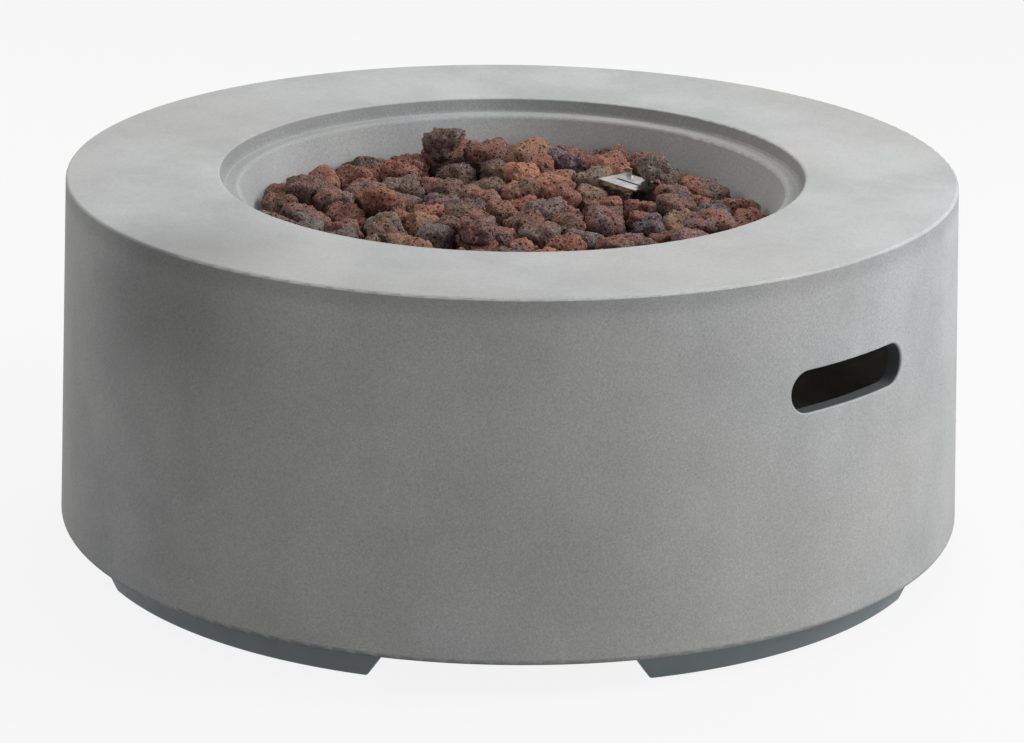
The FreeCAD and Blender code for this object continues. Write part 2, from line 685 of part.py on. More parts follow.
def make_valve_rotor():
    """Plug that the stem turns: a gas way from its side to its back, and a socket for the stem."""
    back, shoulder, front = rotor_levels()
    rotor = cylinder(ROTOR_DIAMETER, back, shoulder).fuse(cylinder(ROTOR_NECK_DIAMETER, back, front))
    socket_depth = STEM_GRIP + KNOB_TRAVEL + 1
    socket = d_section(STEM_DIAMETER + 2 * RUNNING_CLEARANCE, STEM_FLAT + RUNNING_CLEARANCE,
                       front - socket_depth, front + 1)
    gas_way = cylinder(GAS_BORE / 2, back - 1, GAS_BORE / 4 - INLET_SETBACK)
    side_start = VECTOR(0, 0, -INLET_SETBACK)
    side_way = Part.makeCylinder(GAS_BORE / 4, ROTOR_DIAMETER, side_start, VECTOR(0, -1, 0))
    return on_panel(rotor.cut(socket).cut(gas_way).cut(side_way), KNOB_X)


def make_valve_stem():
    """D-section rod between the rotor and the knob."""
    front = rotor_levels()[2]
    stem = d_section(STEM_DIAMETER, STEM_FLAT, front - STEM_GRIP, KNOB_STANDOFF + STEM_GRIP)
    return on_panel(stem, KNOB_X)


def make_control_knob():
    """Round skirt with a bar grip across it and a blind D bore for the stem."""
    low = KNOB_STANDOFF
    skirt_top = low + KNOB_SKIRT
    radius = KNOB_DIAMETER / 2
    skirt = turned([(0, low, 0), (radius, low, 1), (radius - 1, skirt_top, 2), (0, skirt_top, 0)])
    grip = rounded_plate(KNOB_GRIP_WIDTH, KNOB_GRIP_LENGTH, KNOB_GRIP_CORNER, skirt_top, low + KNOB_HEIGHT)
    top_edges = [edge for edge in grip.Edges if edge.BoundBox.ZMin > low + KNOB_HEIGHT - 0.1]
    knob = skirt.fuse(grip.makeFillet(KNOB_EDGE_ROUND, top_edges)).removeSplitter()
    width = STEM_DIAMETER + 2 * RUNNING_CLEARANCE
    bore = d_section(width, STEM_FLAT + RUNNING_CLEARANCE, low - 1, low + STEM_GRIP)
    return on_panel(knob.cut(bore), KNOB_X)


def make_knob_bezel():
    """Shallow dished ring behind the knob, over the valve screws."""
    radius = BEZEL_DIAMETER / 2
    inner = radius - BEZEL_THICKNESS
    hole = BEZEL_HOLE / 2
    top = BEZEL_HEIGHT
    return on_panel(turned([
        (radius, 0, 0),
        (radius, top, 1.5),
        (hole, top, 0),
        (hole, top - BEZEL_THICKNESS, 0),
        (inner, top - BEZEL_THICKNESS, 0.3),
        (inner, 0, 0),
    ]), KNOB_X)


def make_valve_screws():
    """Two screws from the front through the plate into the valve's ears."""
    screw = moved(pan_screw(VALVE_SCREW_DIAMETER, VALVE_SCREW_HEAD, VALVE_SCREW_HEAD_HEIGHT,
                            PANEL_THICKNESS + VALVE_SCREW_GRIP), axis=X_AXIS, angle=180)
    return Part.makeCompound([on_panel(screw, KNOB_X + side * VALVE_SCREW_SPACING / 2) for side in (-1, 1)])


def sleeve(outer, inner, low, high):
    """Upright tube between two levels."""
    return cylinder(outer, low, high).cut(cylinder(inner, low - 1, high + 1))


def make_stem_spring():
    """Envelope of the small spring that pushes the knob back out."""
    inner = STEM_SPRING_DIAMETER - 2 * SPRING_WIRE
    spring = sleeve(STEM_SPRING_DIAMETER, inner, FACE_CLEARANCE, KNOB_STANDOFF - FACE_CLEARANCE)
    return on_panel(spring, KNOB_X)


def inlet_place():
    """Foot of the valve's lower port, where the inlet fitting starts."""
    return VECTOR(KNOB_X, PANEL_Y - INLET_SETBACK, PANEL_HEIGHT_CENTRE - VALVE_SIZE / 2 - VALVE_PORT_LENGTH)


def make_inlet_fitting():
    """Male flare fitting that points down, for the gas hose."""
    place = inlet_place()
    hexed = hexagon(HEX_SIZE, -INLET_HEX_LENGTH, 0)
    thread_end = -INLET_HEX_LENGTH - GAS_INLET_LENGTH
    body = cylinder(GAS_INLET_DIAMETER, thread_end, -INLET_HEX_LENGTH)
    tip = thread_end - INLET_NOSE_LENGTH
    narrow = GAS_INLET_DIAMETER / 4 + GAS_BORE / 4
    wide = GAS_INLET_DIAMETER / 2 - 1
    nose = Part.makeCone(narrow, wide, INLET_NOSE_LENGTH, VECTOR(0, 0, tip), Z_AXIS)
    fitting = hexed.fuse([body, nose]).cut(cylinder(GAS_BORE - 1, tip - 1, 1))
    return moved(fitting, place.x, place.y, place.z)


def make_igniter_barrel():
    """Hollow plastic barrel through the plate: a flange in front, a shoulder that traps the button."""
    barrel = cylinder(BARREL_DIAMETER, -BARREL_LENGTH, 0)
    flange = turned([(0, 0, 0), (BARREL_FLANGE / 2, 0, 0), (BARREL_FLANGE / 2, BARREL_FLANGE_HEIGHT, 1),
                     (0, BARREL_FLANGE_HEIGHT, 0)])
    mouth_width = BUTTON_DIAMETER + 2 * RUNNING_CLEARANCE
    mouth = cylinder(mouth_width, -BUTTON_SHOULDER - 1, BARREL_FLANGE_HEIGHT + 1)
    chamber = cylinder(BUTTON_COLLAR + 2 * RUNNING_CLEARANCE, -BARREL_BORE_DEPTH, -BUTTON_SHOULDER)
    return on_panel(barrel.fuse(flange).cut(mouth).cut(chamber), IGNITER_X)


def make_igniter_button():
    """Round button with a collar under the barrel's shoulder."""
    collar_top = -BUTTON_SHOULDER - FACE_CLEARANCE
    collar = cylinder(BUTTON_COLLAR, collar_top - BUTTON_COLLAR_HEIGHT, collar_top)
    top = BUTTON_HEIGHT
    radius = BUTTON_DIAMETER / 2
    body = turned([(0, collar_top - 1, 0), (radius, collar_top - 1, 0), (radius, top, 1.5), (0, top, 0)])
    return on_panel(body.fuse(collar), IGNITER_X)


def make_button_spring():
    """Envelope of the striker spring inside the barrel."""
    top = -BUTTON_SHOULDER - BUTTON_COLLAR_HEIGHT - 2 * FACE_CLEARANCE
    outer = BUTTON_COLLAR - 4
    spring = sleeve(outer, outer - 2 * SPRING_WIRE, FACE_CLEARANCE - BARREL_BORE_DEPTH, top)
    return on_panel(spring, IGNITER_X)


def make_igniter_nut():
    """Nut that holds the barrel in the plate."""
    nut = hexagon(BARREL_FLANGE, -PANEL_THICKNESS - BARREL_NUT_HEIGHT, -PANEL_THICKNESS,
                  BARREL_DIAMETER + 2 * SLIP_CLEARANCE)
    return on_panel(nut, IGNITER_X)


def make_lead_boot():
    """Rubber boot on the igniter's terminal."""
    back = -BARREL_LENGTH - BOOT_LENGTH
    boot = turned([(0, back, 0), (BOOT_DIAMETER / 3, back, 1), (BOOT_DIAMETER / 2, -BARREL_LENGTH, 0),
                   (0, -BARREL_LENGTH, 0)])
    bore = cylinder(IGNITER_LEAD_DIAMETER + 2 * RUNNING_CLEARANCE, back - 1, back + BOOT_LENGTH / 2)
    return on_panel(boot.cut(bore), IGNITER_X)


def igniter_lead_route():
    """From the boot, under the bowl's floor, up through the grommet to the ceramic."""
    start = PANEL_Y - BARREL_LENGTH - BOOT_LENGTH / 2
    level = PANEL_HEIGHT_CENTRE
    edge = BOWL_FLOOR_DIAMETER / 2
    up = pilot_point(PILOT_SPACING / 2, PILOT_RADIUS, LEAD_LEVEL)
    end = VECTOR(up.x, up.y, SHELF_LEVEL - CERAMIC_BELOW_SHELF)
    return [VECTOR(IGNITER_X, start, level), VECTOR(IGNITER_X, edge + 56, level),
            VECTOR(40, edge, LEAD_LEVEL), up, end]


def thermocouple_lead_route():
    """From the nut on the valve, under the bowl's floor, up through the grommet to the thermocouple."""
    x = KNOB_X + 0.4 * VALVE_SIZE
    start = PANEL_Y - PANEL_THICKNESS - VALVE_DEPTH - THERMOCOUPLE_NUT_HEIGHT / 2
    level = PANEL_HEIGHT_CENTRE + 0.35 * VALVE_SIZE
    edge = BOWL_FLOOR_DIAMETER / 2
    up = pilot_point(-PILOT_SPACING / 2, PILOT_RADIUS, LEAD_LEVEL)
    end = VECTOR(up.x, up.y, SHELF_LEVEL - CERAMIC_BELOW_SHELF)
    return [VECTOR(x, start, level), VECTOR(x, edge + 60, level), VECTOR(-22, edge, LEAD_LEVEL), up, end]


def make_igniter_lead():
    """High-tension lead."""
    return tube(igniter_lead_route(), IGNITER_LEAD_DIAMETER, LEAD_BEND)


def make_thermocouple_lead():
    """Thin copper capillary."""
    return tube(thermocouple_lead_route(), THERMOCOUPLE_LEAD_DIAMETER, LEAD_BEND)


def make_thermocouple_nut():
    """Nut that joins the capillary to the valve."""
    place = thermocouple_lead_route()[0]
    nut = hexagon(THERMOCOUPLE_NUT_SIZE, 0, THERMOCOUPLE_NUT_HEIGHT)
    bore = THERMOCOUPLE_LEAD_DIAMETER + 2 * RUNNING_CLEARANCE
    nut = nut.cut(cylinder(bore, -1, THERMOCOUPLE_NUT_HEIGHT / 2))
    y = place.y - THERMOCOUPLE_NUT_HEIGHT / 2
    return moved(nut, place.x, y, place.z, X_AXIS, -90)


def clip_screw_place(middle, direction):
    """Where a clip's screw stands, beside the lead."""
    along = VECTOR(direction.x, direction.y, 0).normalize()
    return middle + VECTOR(along.y, -along.x, 0) * CLIP_SCREW_OFFSET


def clip_parts(middle, direction, lead):
    """A saddle clip under the bowl's floor, and its screw."""
    angle = math.degrees(math.atan2(direction.y, direction.x))
    half = CLIP_SIZE / 2
    drop = BOWL_UNDERSIDE - middle.z
    saddle = box((-half, half), (-half, half), (-half, drop))
    flange = box((-half, half), (-CLIP_LENGTH + half, half), (drop - CLIP_FLANGE, drop))
    offset = CLIP_SCREW_OFFSET
    screw_hole = cylinder(CLIP_SCREW_DIAMETER + 2 * SCREW_CLEARANCE, 0, drop + 1, 0, -offset)
    bore = Part.makeCylinder(lead / 2 + RUNNING_CLEARANCE, CLIP_SIZE + 2, VECTOR(-half - 1, 0, 0), X_AXIS)
    clip = saddle.fuse(flange).removeSplitter().cut(screw_hole).cut(bore)
    grip = CLIP_FLANGE + CLIP_SCREW_GRIP
    screw = pan_screw(CLIP_SCREW_DIAMETER, CLIP_SCREW_HEAD, CLIP_SCREW_HEAD_HEIGHT, grip)
    screw = moved(screw, 0, -offset, drop - CLIP_FLANGE)
    return [moved(shape, middle.x, middle.y, middle.z, Z_AXIS, angle) for shape in (clip, screw)]


def all_clip_parts():
    """Both clips with their screws."""
    leads = (IGNITER_LEAD_DIAMETER, THERMOCOUPLE_LEAD_DIAMETER)
    return [clip_parts(middle, direction, lead) for (middle, direction), lead in zip(clip_middles(), leads)]


def make_lead_clips():
    """The saddles."""
    return Part.makeCompound([pair[0] for pair in all_clip_parts()])


def make_clip_screws():
    """Their screws."""
    return Part.makeCompound([pair[1] for pair in all_clip_parts()])


def burner_body(ring_radius, tube_radius, hub_diameter, hub_low, hub_high):
    """Ring, cross tube and hub as one solid."""
    ring = Part.makeTorus(ring_radius, tube_radius, VECTOR(0, 0, BURNER_LEVEL), Z_AXIS)
    cross = Part.makeCylinder(tube_radius, 2 * ring_radius, VECTOR(-ring_radius, 0, BURNER_LEVEL), X_AXIS)
    return ring.fuse([cross, cylinder(hub_diameter, hub_low, hub_high)])


def make_burner():
    """Welded hollow burner with a row of ports round the top of its ring."""
    hub_top = HUB_BOTTOM + HUB_HEIGHT
    outside = burner_body(BURNER_RADIUS, TUBE_RADIUS, HUB_DIAMETER, HUB_BOTTOM, hub_top)
    inner_radius = TUBE_RADIUS - BURNER_TUBE_WALL
    ceiling = hub_top - HUB_TOP_THICKNESS
    inside = burner_body(BURNER_RADIUS, inner_radius, MIXER_BORE, HUB_BOTTOM - 1, ceiling)
    burner = outside.cut(inside)
    socket = MIXER_DIAMETER + 2 * SLIP_CLEARANCE
    burner = burner.cut(cylinder(socket, HUB_BOTTOM - 1, HUB_BOTTOM + HUB_SOCKET))
    ports = []
    for i in range(BURNER_PORTS):
        angle = 2 * math.pi * (i + 0.5) / BURNER_PORTS
        ports.append(cylinder(BURNER_PORT_DIAMETER, BURNER_LEVEL, BURNER_LEVEL + BURNER_TUBE,
                              BURNER_RADIUS * math.cos(angle), BURNER_RADIUS * math.sin(angle)))
    return burner.cut(Part.makeCompound(ports)).removeSplitter()


def make_burner_riser():
    """Spacer tube between the bowl's floor and the burner's hub."""
    return sleeve(RISER_DIAMETER, BOWL_HOLE, BOWL_FLOOR, HUB_BOTTOM)


def make_burner_inlet():
    """Mixer tube through the bowl's floor, with two air windows below it."""
    mixer = sleeve(MIXER_DIAMETER, MIXER_BORE, MIXER_BOTTOM, HUB_BOTTOM + HUB_SOCKET)
    middle = (MIXER_BOTTOM + ELBOW_COLLAR + BOWL_UNDERSIDE - WASHER_THICKNESS - LOCKNUT_HEIGHT) / 2
    start = VECTOR(-MIXER_DIAMETER, 0, middle)
    window = Part.makeCylinder(MIXER_WINDOW / 2, 2 * MIXER_DIAMETER, start, X_AXIS)
    return mixer.cut(window)


def make_burner_washer():
    """Washer under the bowl's floor."""
    return sleeve(WASHER_DIAMETER, MIXER_DIAMETER + 1, BOWL_UNDERSIDE - WASHER_THICKNESS, BOWL_UNDERSIDE)


def make_burner_nut():
    """Locknut on the mixer tube."""
    top = BOWL_UNDERSIDE - WASHER_THICKNESS
    return hexagon(LOCKNUT_SIZE, top - LOCKNUT_HEIGHT, top, MIXER_DIAMETER + 2 * SLIP_CLEARANCE)


def elbow_level():
    """Height of the elbow's side port."""
    return MIXER_BOTTOM - ELBOW_HEIGHT / 2


def make_orifice_elbow():
    """Brass elbow under the mixer tube: a side port and a small jet."""
    bottom = MIXER_BOTTOM - ELBOW_HEIGHT
    block = rounded_plate(ELBOW_SIZE, ELBOW_SIZE, ELBOW_CORNER, bottom, MIXER_BOTTOM)
    socket = MIXER_DIAMETER + 2 * SLIP_CLEARANCE
    collar = sleeve(ELBOW_SIZE, socket, MIXER_BOTTOM, MIXER_BOTTOM + ELBOW_COLLAR)
    level = elbow_level()
    port = Part.makeCylinder(ELBOW_PORT_DIAMETER / 2, ELBOW_PORT_LENGTH,
                             VECTOR(0, ELBOW_SIZE / 2, level), Y_AXIS)
    elbow = block.fuse([collar, port])
    reach = ELBOW_SIZE / 2 + ELBOW_PORT_LENGTH + 1
    way = Part.makeCylinder(GAS_BORE / 2, reach, VECTOR(0, 0, level), Y_AXIS)
    return elbow.cut(way).cut(cylinder(ORIFICE, level, MIXER_BOTTOM + 1))


def gas_tube_route():
    """From the valve's rear port to the elbow under the burner."""
    start = PANEL_Y - PANEL_THICKNESS - VALVE_DEPTH - VALVE_PORT_LENGTH
    end = ELBOW_SIZE / 2 + ELBOW_PORT_LENGTH
    third = (start - end) / 3
    return [VECTOR(KNOB_X, start, PANEL_HEIGHT_CENTRE), VECTOR(KNOB_X, start - third, PANEL_HEIGHT_CENTRE),
            VECTOR(0, end + third, elbow_level()), VECTOR(0, end, elbow_level())]


def make_gas_tube():
    """Rigid tube, open at both ends."""
    return tube(gas_tube_route(), GAS_TUBE_DIAMETER, GAS_TUBE_BEND, GAS_TUBE_DIAMETER - 2 * GAS_TUBE_WALL)


def make_tube_nuts():
    """Compression nut at each end of the gas tube."""
    route = gas_tube_route()
    nut = hexagon(HEX_SIZE, 0, TUBE_NUT_HEIGHT, GAS_TUBE_DIAMETER + 2 * SLIP_CLEARANCE)
    first = moved(nut, route[0].x, route[0].y, route[0].z, X_AXIS, 90)
    last = moved(nut, route[-1].x, route[-1].y, route[-1].z, X_AXIS, -90)
    return Part.makeCompound([first, last])


def hood_screw_places():
    """Screws through the hood's foot, before the pilot's turn."""
    y = HOOD_OUTER + HOOD_FOOT / 2
    return [(-HOOD_SCREW_SPACING / 2, y), (HOOD_SCREW_SPACING / 2, y)]


def make_pilot_hood():
    """Folded sheet: slotted top plate with a lip and a lug, back leg, shelf and foot."""
    a = HOOD_LENGTH / 2
    leg = HOOD_LEG_WIDTH / 2
    sheet = HOOD_SHEET
    top = moved(rounded_plate(HOOD_LENGTH, HOOD_WIDTH, HOOD_CORNER, HOOD_TOP - sheet, HOOD_TOP),
                0, (HOOD_INNER + HOOD_OUTER) / 2)
    slot = rounded_plate(HOOD_SLOT_LENGTH, HOOD_SLOT_WIDTH, HOOD_SLOT_WIDTH / 2 - 0.01,
                         HOOD_TOP - sheet - 1, HOOD_TOP + 1)
    slot = moved(slot, 0, (HOOD_INNER + HOOD_OUTER) / 2 - HOOD_SLOT_OFFSET)
    lip = box((HOOD_LIP_INSET - a, a - HOOD_LIP_INSET), (HOOD_INNER, HOOD_INNER + sheet),
              (HOOD_TOP - HOOD_LIP, HOOD_TOP - sheet / 2))
    lug = box((-a + HOOD_LUG_INSET, -a + HOOD_LUG_INSET + HOOD_LUG), (HOOD_OUTER - sheet, HOOD_OUTER),
              (HOOD_TOP - sheet / 2, HOOD_TOP + HOOD_LUG_HEIGHT))
    back = box((-leg, leg), (HOOD_OUTER - sheet, HOOD_OUTER), (BOWL_FLOOR, HOOD_TOP - sheet / 2))
    shelf = box((-leg, leg), (PILOT_RADIUS - HOOD_SHELF_REACH, HOOD_OUTER - sheet / 2),
                (SHELF_LEVEL - sheet, SHELF_LEVEL))
    foot = box((-leg, leg), (HOOD_OUTER - sheet / 2, HOOD_OUTER + HOOD_FOOT),
               (BOWL_FLOOR, BOWL_FLOOR + sheet))
    hood = top.fuse([lip, lug, back, shelf, foot]).removeSplitter()
    holes = [slot]
    half = PILOT_SPACING / 2
    holes.append(cylinder(CERAMIC_DIAMETER + 2 * SLIP_CLEARANCE, SHELF_LEVEL - 3, SHELF_LEVEL + 1,
                          half, PILOT_RADIUS))
    holes.append(cylinder(THERMOCOUPLE_DIAMETER + 2 * SLIP_CLEARANCE, SHELF_LEVEL - 3, SHELF_LEVEL + 1,
                          -half, PILOT_RADIUS))
    for x, y in hood_screw_places():
        hole = HOOD_SCREW_DIAMETER + 2 * SCREW_CLEARANCE
        holes.append(cylinder(hole, BOWL_FLOOR - 1, BOWL_FLOOR + 3, x, y))
    for hole in holes:
        hood = hood.cut(hole)
    return at_pilot(hood)


def make_hood_screws():
    """Two screws down into the bowl's floor."""
    screw = moved(pan_screw(HOOD_SCREW_DIAMETER, HOOD_SCREW_HEAD, HOOD_SCREW_HEAD_HEIGHT,
                            HOOD_SHEET + HOOD_SCREW_GRIP), axis=X_AXIS, angle=180)
    level = BOWL_FLOOR + HOOD_SHEET
    screws = [at_pilot(moved(screw, x, y, level)) for x, y in hood_screw_places()]
    return Part.makeCompound(screws)


def collared_rod(diameter, low, high, x):
    """Upright rod with a collar that rests on the shelf."""
    rod = cylinder(diameter, low, high, x, PILOT_RADIUS)
    width = diameter + 2 * COLLAR_OVERHANG
    collar = cylinder(width, SHELF_LEVEL, SHELF_LEVEL + COLLAR_HEIGHT, x, PILOT_RADIUS)
    return rod.fuse(collar)


def make_electrode_ceramic():
    """Glazed insulator that stands in the shelf."""
    return at_pilot(collared_rod(CERAMIC_DIAMETER, SHELF_LEVEL - CERAMIC_BELOW_SHELF,
                                 SHELF_LEVEL + CERAMIC_ABOVE_SHELF, PILOT_SPACING / 2))


def make_electrode_rod():
    """Bent spark rod above the insulator, towards the burner ring."""
    x = PILOT_SPACING / 2
    base = SHELF_LEVEL + CERAMIC_ABOVE_SHELF
    points = [VECTOR(x, PILOT_RADIUS, base), VECTOR(x, PILOT_RADIUS, base + ELECTRODE_RISE),
              VECTOR(x, PILOT_RADIUS - ELECTRODE_REACH, base + ELECTRODE_RISE)]
    return at_pilot(tube(points, ELECTRODE_DIAMETER, 2 * ELECTRODE_DIAMETER))


def make_thermocouple():
    """Flame sensor beside the insulator."""
    return at_pilot(collared_rod(THERMOCOUPLE_DIAMETER, SHELF_LEVEL - CERAMIC_BELOW_SHELF,
                                 SHELF_LEVEL + THERMOCOUPLE_ABOVE_SHELF, -PILOT_SPACING / 2))


def make_floor_grommet():
    """Flanged bush up through the bowl's floor, with a hole for each lead."""
    low = BOWL_UNDERSIDE - GROMMET_FLANGE_HEIGHT
    high = BOWL_FLOOR
    grommet = cylinder(GROMMET_HOLE - 2 * SLIP_CLEARANCE, low, high)
    grommet = grommet.fuse(cylinder(GROMMET_FLANGE, low, BOWL_UNDERSIDE)).removeSplitter()
    grommet = moved(grommet, 0, PILOT_RADIUS)
    half = PILOT_SPACING / 2
    for x, lead in ((half, IGNITER_LEAD_DIAMETER), (-half, THERMOCOUPLE_LEAD_DIAMETER)):
        grommet = grommet.cut(cylinder(lead + 2 * SLIP_CLEARANCE, low - 1, high + 1, x, PILOT_RADIUS))
    return at_pilot(grommet)


class ConvexBlock:
    """Convex block with flat faces, kept as a list of polygons, that planes cut down."""

    def __init__(self, centre, half):
        corners = [centre + VECTOR(x * half, y * half, z * half)
                   for x in (-1, 1) for y in (-1, 1) for z in (-1, 1)]
        loops = [(0, 1, 3, 2), (4, 6, 7, 5), (0, 4, 5, 1), (2, 3, 7, 6), (0, 2, 6, 4), (1, 5, 7, 3)]
        self.faces = [[corners[i] for i in loop] for loop in loops]

    def corners(self):
        return [point for face in self.faces for point in face]

    def reach(self, normal):
        """Largest distance along a direction."""
        return max(point.dot(normal) for point in self.corners())

    def cut(self, normal, distance):
        """Keep what lies below a plane."""
        if self.reach(normal) < distance + SAME_POINT:
            return
        kept = []
        rim = []
        for face in self.faces:
            levels = [point.dot(normal) - distance for point in face]
            loop = []
            for i, point in enumerate(face):
                level = levels[i]
                following = (i + 1) % len(face)
                after = levels[following]
                if level < SAME_POINT:
                    loop.append(point)
                if abs(level) < SAME_POINT:
                    rim.append(point)
                elif abs(after) > SAME_POINT and level * after < 0:
                    crossing = point + (face[following] - point) * (level / (level - after))
                    loop.append(crossing)
                    rim.append(crossing)
            if len(loop) > 2:
                kept.append(loop)
        rim = sorted_round(rim, normal)
        if len(rim) > 2:
            kept.append(rim)
        self.faces = kept

    def thickness(self):
        """Least of its three widths, or nothing where planes have cut it all away."""
        if len(self.faces) < 4:
            return 0.0
        return min(self.reach(axis) + self.reach(axis * -1) for axis in (X_AXIS, Y_AXIS, Z_AXIS))

    def shortest_edge(self):
        return min(face[i - 1].distanceToPoint(face[i]) for face in self.faces for i in range(len(face)))

    def solid(self):
        faces = [Part.Face(Part.makePolygon(face + face[:1])) for face in self.faces]
        shell = Part.makeShell(faces)
        shell.sewShape()
        return Part.makeSolid(shell)


def sorted_round(points, normal):
    """Corners of a new flat face in order round it, each once."""
    if len(points) < 3:
        return []
    middle = CENTRE
    for point in points:
        middle = middle + point * (1.0 / len(points))
    across = (points[0] - middle).normalize()
    up = normal.cross(across)

    def turn(point):
        arm = point - middle
        return math.atan2(arm.dot(up), arm.dot(across))

    ordered = sorted(points, key=turn)
    return [point for i, point in enumerate(ordered) if point.distanceToPoint(ordered[i - 1]) > SAME_POINT]


def scattered(spacing, level, uneven, chance, fixed):
    """Places of one layer: thrown at random, then pushed apart until they fill the bowl evenly."""
    limit = bowl_radius(level) - 0.46 * spacing
    count = int(ROCK_FILL * math.pi * limit ** 2 / (spacing ** 2 * math.sqrt(3) / 2))
    places = []
    for i in range(count):
        radius = limit * math.sqrt((i + 0.5) / count)
        angle = i * math.pi * (3 - math.sqrt(5)) + chance.uniform(-0.4, 0.4)
        places.append([radius * math.cos(angle), radius * math.sin(angle)])
    for turn in range(ROCK_SETTLING_TURNS):
        for place in places:
            shift = [0.0, 0.0]
            for other in places + fixed:
                across = (place[0] - other[0], place[1] - other[1])
                distance = math.hypot(across[0], across[1])
                if 0 < distance < spacing:
                    share = 0.4 * (spacing - distance) / distance
                    shift[0] += across[0] * share
                    shift[1] += across[1] * share
            place[0] += shift[0]
            place[1] += shift[1]
            radius = math.hypot(place[0], place[1])
            if radius > limit:
                place[0] *= limit / radius
                place[1] *= limit / radius
    return [VECTOR(x, y, level + chance.uniform(-1, 1) * uneven) for x, y in places]


def rock_seeds(chance):
    """Middle and largest half size of each rock: a lower layer, an upper layer and a few on top."""
    low = BOWL_FLOOR + LOWER_ROCK_HEIGHT
    high = RIM - ROCK_BED_DEPTH
    seeds = scattered(LOWER_ROCK_SPACING, low, ROCK_UNEVEN / 3, chance, [])
    seeds = [seed for seed in seeds if math.hypot(seed.x, seed.y) > RISER_DIAMETER / 2 + ROCK_RISER_ROOM]
    seeds += scattered(ROCK_SPACING, high, ROCK_UNEVEN, chance, [])
    places = [(seed, LOWER_ROCK_SPACING) for seed in seeds]
    for angle, radius, depth, largest in TOP_ROCKS:
        turn = math.radians(angle)
        places.append((VECTOR(radius * math.sin(turn), -radius * math.cos(turn), RIM - depth), largest))
    return [place for place in places if not under_hood(place[0])]


def hood_local(point):
    """A point seen before the pilot's turn."""
    return FreeCAD.Rotation(Z_AXIS, PILOT_ANGLE).multVec(point)


def under_hood(point):
    """Whether a point is in the space under the pilot hood."""
    place = hood_local(point)
    return abs(place.x) < HOOD_LENGTH / 2 and HOOD_INNER < place.y < HOOD_OUTER and place.z < HOOD_TOP


def neighbour_planes(seed, seeds):
    """Planes half way to each near rock, nearest first."""
    planes = []
    for other in seeds:
        distance = seed.distanceToPoint(other)
        if 0 < distance < 2 * LOWER_ROCK_SPACING:
            normal = (other - seed) * (1.0 / distance)
            planes.append((distance / 2, normal))
    planes.sort(key=lambda plane: plane[0])
    return planes


def bowl_planes(seed):
    """Planes that keep a rock inside the bowl's floor, rounded corner and wall."""
    corner = BOWL_FLOOR_DIAMETER / 2
    wall_angle = math.atan2((LEDGE_DIAMETER - BOWL_FLOOR_DIAMETER) / 2, LEDGE_LEVEL - BOWL_FLOOR)
    turn = math.pi / 2 - wall_angle
    reach = BOWL_CORNER_ROUND / math.cos(turn / 2)
    middle = wall_angle + turn / 2
    arc_radius = corner - reach * math.cos(middle)
    arc_height = BOWL_FLOOR + reach * math.sin(middle)
    about = math.atan2(seed.y, seed.x)
    planes = [(VECTOR(0, 0, -1), -BOWL_FLOOR - ROCK_GAP)]
    for share in (0, 0.25, 0.5, 0.75):
        tilt = wall_angle + share * turn
        across = math.cos(tilt)
        down = -math.sin(tilt)
        level = arc_radius * across + arc_height * down + BOWL_CORNER_ROUND - 2 * ROCK_GAP
        for step in (-10, -5, 0, 5, 10):
            angle = about + math.radians(step)
            planes.append((VECTOR(across * math.cos(angle), across * math.sin(angle), down), level))
    return planes


def rock_block(seed, largest, seeds, chance):
    """One rock: its share of the space, with the corners knocked off."""
    block = ConvexBlock(seed, LOWER_ROCK_SPACING)
    near = neighbour_planes(seed, seeds)
    size = min(near[3][0], largest)
    for distance, normal in near:
        edge = seed.dot(normal) + distance - ROCK_GAP / 2
        block.cut(normal, edge)
    for normal, edge in bowl_planes(seed):
        block.cut(normal, edge)
    lean = VECTOR(chance.uniform(-0.3, 0.3), chance.uniform(-0.3, 0.3), 1).normalize()
    block.cut(lean, seed.dot(lean) + ROCK_RISE + chance.uniform(-3, 2))
    for i in range(ROCK_FACETS):
        # Directions spread evenly over a ball, each turned a little
        height = 1 - 2 * (i + 0.5) / ROCK_FACETS
        angle = i * math.pi * (3 - math.sqrt(5)) + chance.uniform(-0.5, 0.5)
        flat = math.sqrt(1 - height * height)
        lift = height + chance.uniform(-0.15, 0.15)
        normal = VECTOR(flat * math.cos(angle), flat * math.sin(angle), lift)
        normal.normalize()
        edge = seed.dot(normal) + size * chance.uniform(0.92, 1.12)
        if block.reach(normal) > edge + ROCK_SHORTEST_EDGE:
            block.cut(normal, edge)
    return clear_of_burner(block, seed)


def clear_of_burner(block, seed):
    """Cut a rock flat above or below the burner, and beside the pilot hood."""
    points = block.corners()
    radii = [math.hypot(point.x, point.y) for point in points]
    outer_edge = BURNER_RADIUS + TUBE_RADIUS + 1
    over_ring = min(radii) < outer_edge and max(radii) > BURNER_RADIUS - TUBE_RADIUS - 1
    nearest_y = min(point.y for point in points), max(point.y for point in points)
    near_cross = nearest_y[0] < TUBE_RADIUS + 1 and nearest_y[1] > -TUBE_RADIUS - 1
    over_cross = near_cross and min(radii) < BURNER_RADIUS
    over_hub = min(radii) < HUB_DIAMETER / 2 + 2
    if over_ring or over_cross or over_hub:
        half = max(TUBE_RADIUS, HUB_HEIGHT / 2 if over_hub else 0) + ROCK_GAP
        if seed.z > BURNER_LEVEL:
            block.cut(VECTOR(0, 0, -1), -(BURNER_LEVEL + half))
        else:
            block.cut(VECTOR(0, 0, 1), BURNER_LEVEL - half)
    if seed.z < BURNER_LEVEL and min(radii) < RISER_DIAMETER / 2 + ROCK_RISER_ROOM:
        away = VECTOR(-seed.x, -seed.y, 0).normalize()
        block.cut(away, -RISER_DIAMETER / 2 - ROCK_GAP)
    return clear_of_hood(block, seed)


